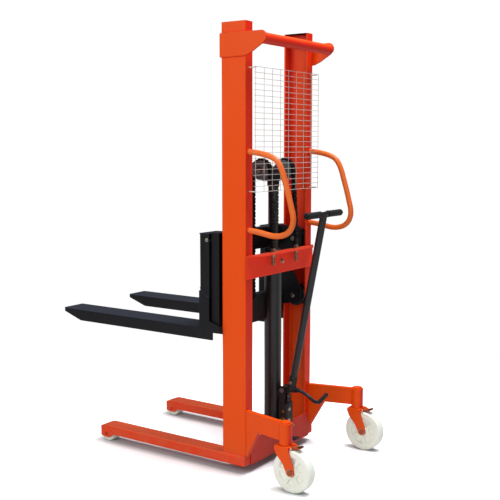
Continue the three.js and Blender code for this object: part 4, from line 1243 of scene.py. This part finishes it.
def pump_block():
    pieces = [slab("z", 118, 262, rect(-26, 26, 70.8, 118), [3, 3, 7, 7])]
    for end in ENDS:
        pieces += [prism("x", end * 17.5, end * 25, PIVOT_EAR),
                   prism("x", end * 10.5, end * 16.5, RELEASE_EAR)]
    pieces.append(lathe([(255, 0), (255, 15), (270.8, 15), (272, 14), (272, 0)], "z",
                        (0, PLUNGER_Y, 0), 44))
    return cut(add(*pieces), cylinder("x", 8.4, -40, 40, PIVOT_Y, PIVOT_Z, 36),
               cylinder("z", 9.6, 200, 300, 0, PLUNGER_Y, 36),
               cylinder("x", 6.5, 22, 40, 98, 150, 28), cylinder("x", 6.5, 22, 40, 98, 226, 28))


part("pump_block", pump_block(), CAST, "pump_body", bevel=1.0, limit=48)
mesh = lathe(symmetric([(-18, 0), (-18, 4.6), (-17, 5), (-16.6, 4)]), "x",
             (0, RELEASE_Y, RELEASE_Z), 24)
part("release_hinge_pin", mesh, ZINC)
fittings = [
    hexagon(14, 7, "x", (30.2, 96, 190), 0, 1.2, 0.1),
    lathe([(26.2, 0), (26.2, 9.5), (27.6, 9.5), (27.6, 0)], "x", (0, 96, 190), 32),
    hexagon(12, 5, "x", (27.5, 98, 226), 0, 1.0, 0.4),
    lathe([(112, 0), (112, 9), (113.5, 10), (122, 10), (123, 9), (123, 0)], "y",
          (-8, 0, 160), 32),
    hexagon(15, 7, "y", (-8, 126.3, 160), 0, 1.2, 0.2),
    lathe([(129.5, 0), (129.5, 4.6), (134, 4.2), (135, 3), (135, 0)], "y", (-8, 0, 160), 24)]
part("pump_fittings", joined(fittings), BRASS, clean=False)
plugs = [hexagon(13, 5.5, "y", (10, 120.9, 236), 0, 1.0, 0.0),
         hexagon(11, 5.0, "y", (12, 120.6, 188), 0, 1.0, 0.5),
         hexagon(13, 5.5, "x", (-28.6, 96, 150), 0, 1.0, 0.3),
         hexagon(11, 5.0, "x", (27.9, 98, 150), 0, 1.0, 0.2),
         washer(4, 8.6, 1.0, "y", (10, 118.4, 236)),
         washer(4, 7.6, 1.0, "y", (12, 118.4, 188))]
part("pump_plugs", joined(plugs), ZINC)
mesh = lathe(symmetric([(-30, 0), (-30, 10), (-29, 11), (-26, 11), (-25.4, 10.4), (-25.4, 8)]),
             "x", (0, PIVOT_Y, PIVOT_Z), 40)
part("pivot_pin", mesh, STEEL, "lever_pivot_pin")
mesh = lathe([(222, 0), (222, 8.2), (222.8, 9), (292, 9), (292, 12.8), (293, 13.4),
              (297, 13.4), (298, 12.8), (298, 9), (304, 8.6), (305.6, 6.5), (305.6, 0)], "z",
             (0, PLUNGER_Y, 0), 40)
part("plunger_rod", mesh, CHROME, "pump_plunger", "plunger")

# spring round the plunger: five turns
COIL_R, COIL_TURNS, COIL_STEPS = 11.4, 5, 20
coil = []
for k in range(COIL_TURNS * COIL_STEPS + 1):
    q = 2 * math.pi * k / COIL_STEPS
    coil.append((COIL_R * math.cos(q), PLUNGER_Y + COIL_R * math.sin(q),
                 273.6 + 16.8 * k / 100))
spring = dress("plunger_spring", sweep(coil, 1.3, 10, (0, 0, 1)), SPRING, sharp=None)
stretch(spring, "frame", "plunger", 0.2736, 0.2904)

# (x, y, z) stations of the pipe from the pump's side to the foot of the cylinder
PIPE = [(26.6, 96, 190), (34, 96, 190), (46, 95, 190), (58, 88, 186), (63, 74, 174),
        (63, 54, 152), (60, 38, 130), (55, 28, 115), (49, RAM_Y, 110), (39.5, RAM_Y, 110)]
part("oil_pipe_tube", sweep(spline(PIPE, 2.0), 5, 20, (0, 0, 1)), STEEL, "oil_pipe",
     clean=False)
unions = [hexagon(13, 9, "x", (39.8, 96, 190), 5.2, 1.1, 0.2),
          hexagon(13, 8, "x", (45.2, RAM_Y, 110), 5.2, 1.1, 0.5),
          lathe([(38.3, 5.2), (38.3, 9.4), (41.2, 8.8), (41.2, 5.2)], "x", (0, RAM_Y, 110), 28)]
part("oil_pipe_unions", joined(unions), BRASS, clean=False)

# ---------------------------------------------------------------- pump lever
LEVER = "pump_handle"
LEVER_Y, LEVER_Z = 124, 328             # where the tube's axis starts
LEVER_WAY = Vector((0, TEE_Y - LEVER_Y, TEE_Z - LEVER_Z)).normalized()
SOCKET_SCALE = (1, 1, 0.97, 0.91)       # the socket narrows at its mouth
# (y, z) outline of the rocker
ROCKER = [(PIVOT_Y - 16, PIVOT_Z - 11), (PIVOT_Y + 10, PIVOT_Z - 13),
          (PIVOT_Y + 20, PIVOT_Z - 7), (150, PIVOT_Z - 6), (150, PIVOT_Z + 13),
          (112, PIVOT_Z + 14), (PIVOT_Y, PIVOT_Z + 16), (PIVOT_Y - 16, PIVOT_Z + 8)]


def on_lever(t):
    """Point on the lever's axis at a distance t from its start."""
    return Vector((0, LEVER_Y + LEVER_WAY.y * t, LEVER_Z + LEVER_WAY.z * t))


mesh = add(slab("x", -15, 15, ROCKER, [9, 6, 6, 5, 7, 10, 10, 9]),
           cylinder("x", 16, -15, 15, PIVOT_Y, PIVOT_Z, 44))
mesh = keep(mesh, box(-15, 15, 60, 160, 290, 345))
mesh = add(mesh, cylinder("x", 10, -15, 15, PIVOT_Y + 24, PIVOT_Z - 6, 36),
           sweep([on_lever(t) for t in (-6, 54, 57, 58)], 18.5, 44,
                 ripple=lambda i: SOCKET_SCALE[i]))
mesh = cut(mesh, cylinder("x", 8.5, -30, 30, PIVOT_Y, PIVOT_Z, 36))
part("lever_rocker", mesh, CAST, "pump_lever", LEVER, bevel=0.9, limit=48)
mesh = add(sweep([on_lever(50), Vector((0, TEE_Y, TEE_Z)) - LEVER_WAY * 4], 16, 48),
           sweep([(-146.8, TEE_Y, TEE_Z), (146.8, TEE_Y, TEE_Z)], 11, 36, (0, 0, 1)))
part("lever_tube", mesh, BLACK_GLOSS, body=LEVER, sharp=40)
sideways = Vector((1, 0, 0))
across = LEVER_WAY.cross(sideways)
ring = []
for k in range(41):
    q = 2 * math.pi * k / 40
    ring.append(on_lever(59.5) + sideways * (16.6 * math.cos(q)) + across * (16.6 * math.sin(q)))
weld("lever_weld", BLACK_GLOSS,
     sweep(ring, 1.9, 8, (0, 0, 1), lambda i: 1.0 + 0.12 * math.sin(i * 2.2)),
     body=LEVER, slot="fork_black")
bolts = [hexagon(13, 5.5, "x", (end * 20.8, on_lever(34).y, on_lever(34).z), 0, 1.0, 0.3)
         for end in ENDS]
part("lever_bolts", joined(bolts), ZINC, body=LEVER)

# (x, radius) profile of a grip: collar, ribs at an even pitch, rounded end, bore
GRIP = [(30, 11.5), (30, 13.8), (30.8, 14.7), (32.5, 15), (35, 15), (36, 14.1)]
RIB_PITCH = 6.2
x = 38.0
while x < 138:
    GRIP += [(x, 14.1), (x + 1.2, 14.5), (x + 3.2, 14.5), (x + 4.4, 14.1)]
    x += RIB_PITCH
GRIP += [(141.5, 14.2), (142.5, 14.7), (144.5, 14.6), (148, 13.2), (150.6, 10.0), (151.7, 6),
         (152, 0), (147.7, 0), (147.7, 11.5)]
for side, sign in SIDES:
    mesh = lathe([(sign * a, b) for a, b in GRIP], "x", (0, TEE_Y, TEE_Z), 44)
    part(f"tee_grip_sleeve_{side}", mesh, RUBBER, f"tee_grip_{side}", LEVER, sharp=50,
         clean=False)

# ---------------------------------------------------------------- foot pedal
# (x, y, z) stations of the bar, rearward from the rocker and then bent to the right
PEDAL = spline([(0, 152, 325.6), (0, 170, 325), (0, 195, 317), (0, 222, 302), (-5, 241, 287),
                (-26, 249, 281), (-64, 247, 286), (-108, 241, 293)], 2.5)
mesh = add(sweep(PEDAL, 7.5, 28), slab("y", 150.4, 156, rect(-14, 14, 316.3, 335), 4))
part("pedal_bar", mesh, BLACK, "foot_pedal", LEVER, bevel=0.6, sharp=40)
sleeve = [point for point in PEDAL if -100 < point.x < -22]


def sleeve_ripple(i):
    """A rib on every third ring, and tapered ends."""
    rib = 0.04 if i % 3 == 0 else 0.0
    return 1.0 + rib - (0.10 if i in (0, len(sleeve) - 1) else 0)


part("pedal_sleeve", sweep(sleeve, 8.9, 28, (0, 0, 1), sleeve_ripple), RUBBER, body=LEVER,
     sharp=50, clean=False)
KNOB_R = 9.5
knob = [(-110 + KNOB_R * math.cos(q), KNOB_R * math.sin(q)) for q in np.linspace(math.pi, 0, 17)]
knob = [(a, 0.0 if abs(b) < 1e-4 else b) for a, b in knob]
part("pedal_knob", lathe(knob, "x", (0, 241, 293.4), 36), RUBBER, body=LEVER, clean=False)

# ---------------------------------------------------------------- release pedal
ARM_SIDE = [(100, 100), (100, 111), (142, 108), (158, 106), (158, 100), (142, 100)]
mesh = add(cylinder("x", 8.5, -9.8, 9.8, RELEASE_Y, RELEASE_Z, 36),
           slab("x", -6, 6, ARM_SIDE, [0, 0, 0, 2, 2, 0], 4),
           slab("z", 99.5, 105, rect(-22, 22, 134, 158), [4, 4, 8, 8]))
mesh = cut(mesh, cylinder("x", 4.4, -30, 30, RELEASE_Y, RELEASE_Z, 28))
part("release_pedal_plate", mesh, BLACK, "release_pedal", "release", bevel=0.6)
treads = [slab("z", 104.8, 106.0, rect(-19, 19, y - 1.1, y + 1.1), 0.9, 3)
          for y in (138, 143, 148, 153)]
part("release_pedal_treads", joined(treads), BLACK, body="release")

# ---------------------------------------------------------------- floor
WHITE, WHITE_GLOW = (1, 1, 1, 1), 1.02  # the plain white behind the object


def floor_paper():
    """Grey paper to the lights; to the camera, overexposed, with contact shadows painted in by
    ambient occlusion.
    """
    m = Shader("floor_paper")
    color = m.mix(m.remap(m.noise(scale=1.3, detail=2.0, rough=0.5), span=(0.3, 0.7)),
                  (0.58, 0.58, 0.58, 1), (0.62, 0.62, 0.62, 1))
    relief = m.bump(m.noise(scale=240.0, detail=2.0, rough=0.5), strength=0.03,
                    distance=0.0006)
    m.finish({"Base Color": color, "Roughness": 0.9, "Specular IOR Level": 0.0,
              "Normal": relief})
    # fades to plain white away from the object
    far = m.node("VectorMath", {0: m.place}, operation="LENGTH")
    fade = m.remap(far.outputs["Value"], span=(1.15, 2.6), smooth=True)
    glow = m.node("Emission", {"Color": WHITE, "Strength": WHITE_GLOW})
    # painted contact shadow: the paper darkens to grey where ambient occlusion finds the object
    # close by
    contact_shadow_ao = m.node("AmbientOcclusion", {"Distance": 0.16})
    lit = m.remap(contact_shadow_ao.outputs["AO"], span=(0.25, 0.93), smooth=True)
    paper = m.mix(lit, (0.55, 0.58, 0.62, 1), (1.55, 1.57, 1.60, 1))
    over = m.node("BsdfDiffuse", {"Color": paper})
    blend = m.node("MixShader", {0: fade, 1: over.outputs[0], 2: glow.outputs[0]})
    camera_ray = m.node("LightPath").outputs["Is Camera Ray"]
    seen = m.node("MixShader", {0: camera_ray, 1: m.bsdf.outputs[0], 2: blend.outputs[0]})
    plug(m.tree, seen.outputs[0], m.output.inputs[0])
    return m.material


floor_mesh = bpy.data.meshes.new("floor")
floor_mesh.from_pydata([(-40, -40, 0), (40, -40, 0), (40, 40, 0), (-40, 40, 0)], [],
                       [(0, 1, 2, 3)])
floor_mesh.materials.append(floor_paper())
floor = bpy.data.objects.new("floor", floor_mesh)
SCENE.collection.objects.link(floor)

# ---------------------------------------------------------------- surround
# plain white to the camera, soft grey as light, darker still in reflections
world = bpy.data.worlds.new("studio")
SCENE.world = world
world.use_nodes = True
tree = world.node_tree
tree.nodes.clear()
world_output = add_node(tree, "OutputWorld")
rays = add_node(tree, "LightPath").outputs


def surround(color, strength):
    return add_node(tree, "Background", {"Color": color, "Strength": strength}).outputs[0]


def choose(amount, a, b):
    return add_node(tree, "MixShader", {0: amount, 1: a, 2: b}).outputs[0]


shaded = choose(rays["Is Glossy Ray"], surround(color=(0.97, 0.985, 1.0, 1), strength=0.34),
                surround(color=(0.90, 0.95, 1.0, 1), strength=0.08))
backdrop = choose(rays["Is Camera Ray"], shaded, surround(color=WHITE, strength=WHITE_GLOW))
plug(tree, backdrop, world_output.inputs[0])


# ---------------------------------------------------------------- lights and camera, metres
def area(name, place, target, size, power, color, specular):
    light = bpy.data.lights.new(name, "AREA")
    light.shape, light.size, light.energy = "DISK", size, power
    light.color, light.specular_factor = color, specular
    aim(bpy.data.objects.new(name, light), place, Vector(target) - Vector(place))


def aim(thing, place, way):
    thing.location = place
    thing.rotation_mode = "QUATERNION"
    thing.rotation_quaternion = way.to_track_quat("-Z", "Y")
    SCENE.collection.objects.link(thing)


area("key", place=(4.6, -0.9, 3.1), target=(0, 0.1, 0.9), size=2.6, power=99,
     color=(1.0, 0.975, 0.94), specular=0.45)
area("top", place=(-0.5, 1.2, 4.6), target=(0, 0.1, 0.3), size=2.2, power=190,
     color=(0.97, 0.985, 1.0), specular=0.5)
area("fill", place=(3.3, 3.4, 1.7), target=(0, 0.2, 0.8), size=1.4, power=26,
     color=(1.0, 0.98, 0.96), specular=0.5)

AZIMUTH, ELEVATION = math.radians(124.2475), math.radians(6.6867)   # of the camera
back = Vector((math.sin(AZIMUTH) * math.cos(ELEVATION),
               -math.cos(AZIMUTH) * math.cos(ELEVATION), math.sin(ELEVATION)))
lens = bpy.data.cameras.new("camera")
lens.lens, lens.sensor_width = 63.5192, 36.0
lens.clip_start, lens.clip_end = 0.1, 200.0
camera = bpy.data.objects.new("camera", lens)
aim(camera, place=(3.3087, 2.43985, 1.4124), way=-back)
SCENE.camera = camera
SCENE.view_settings.view_transform = "Standard"
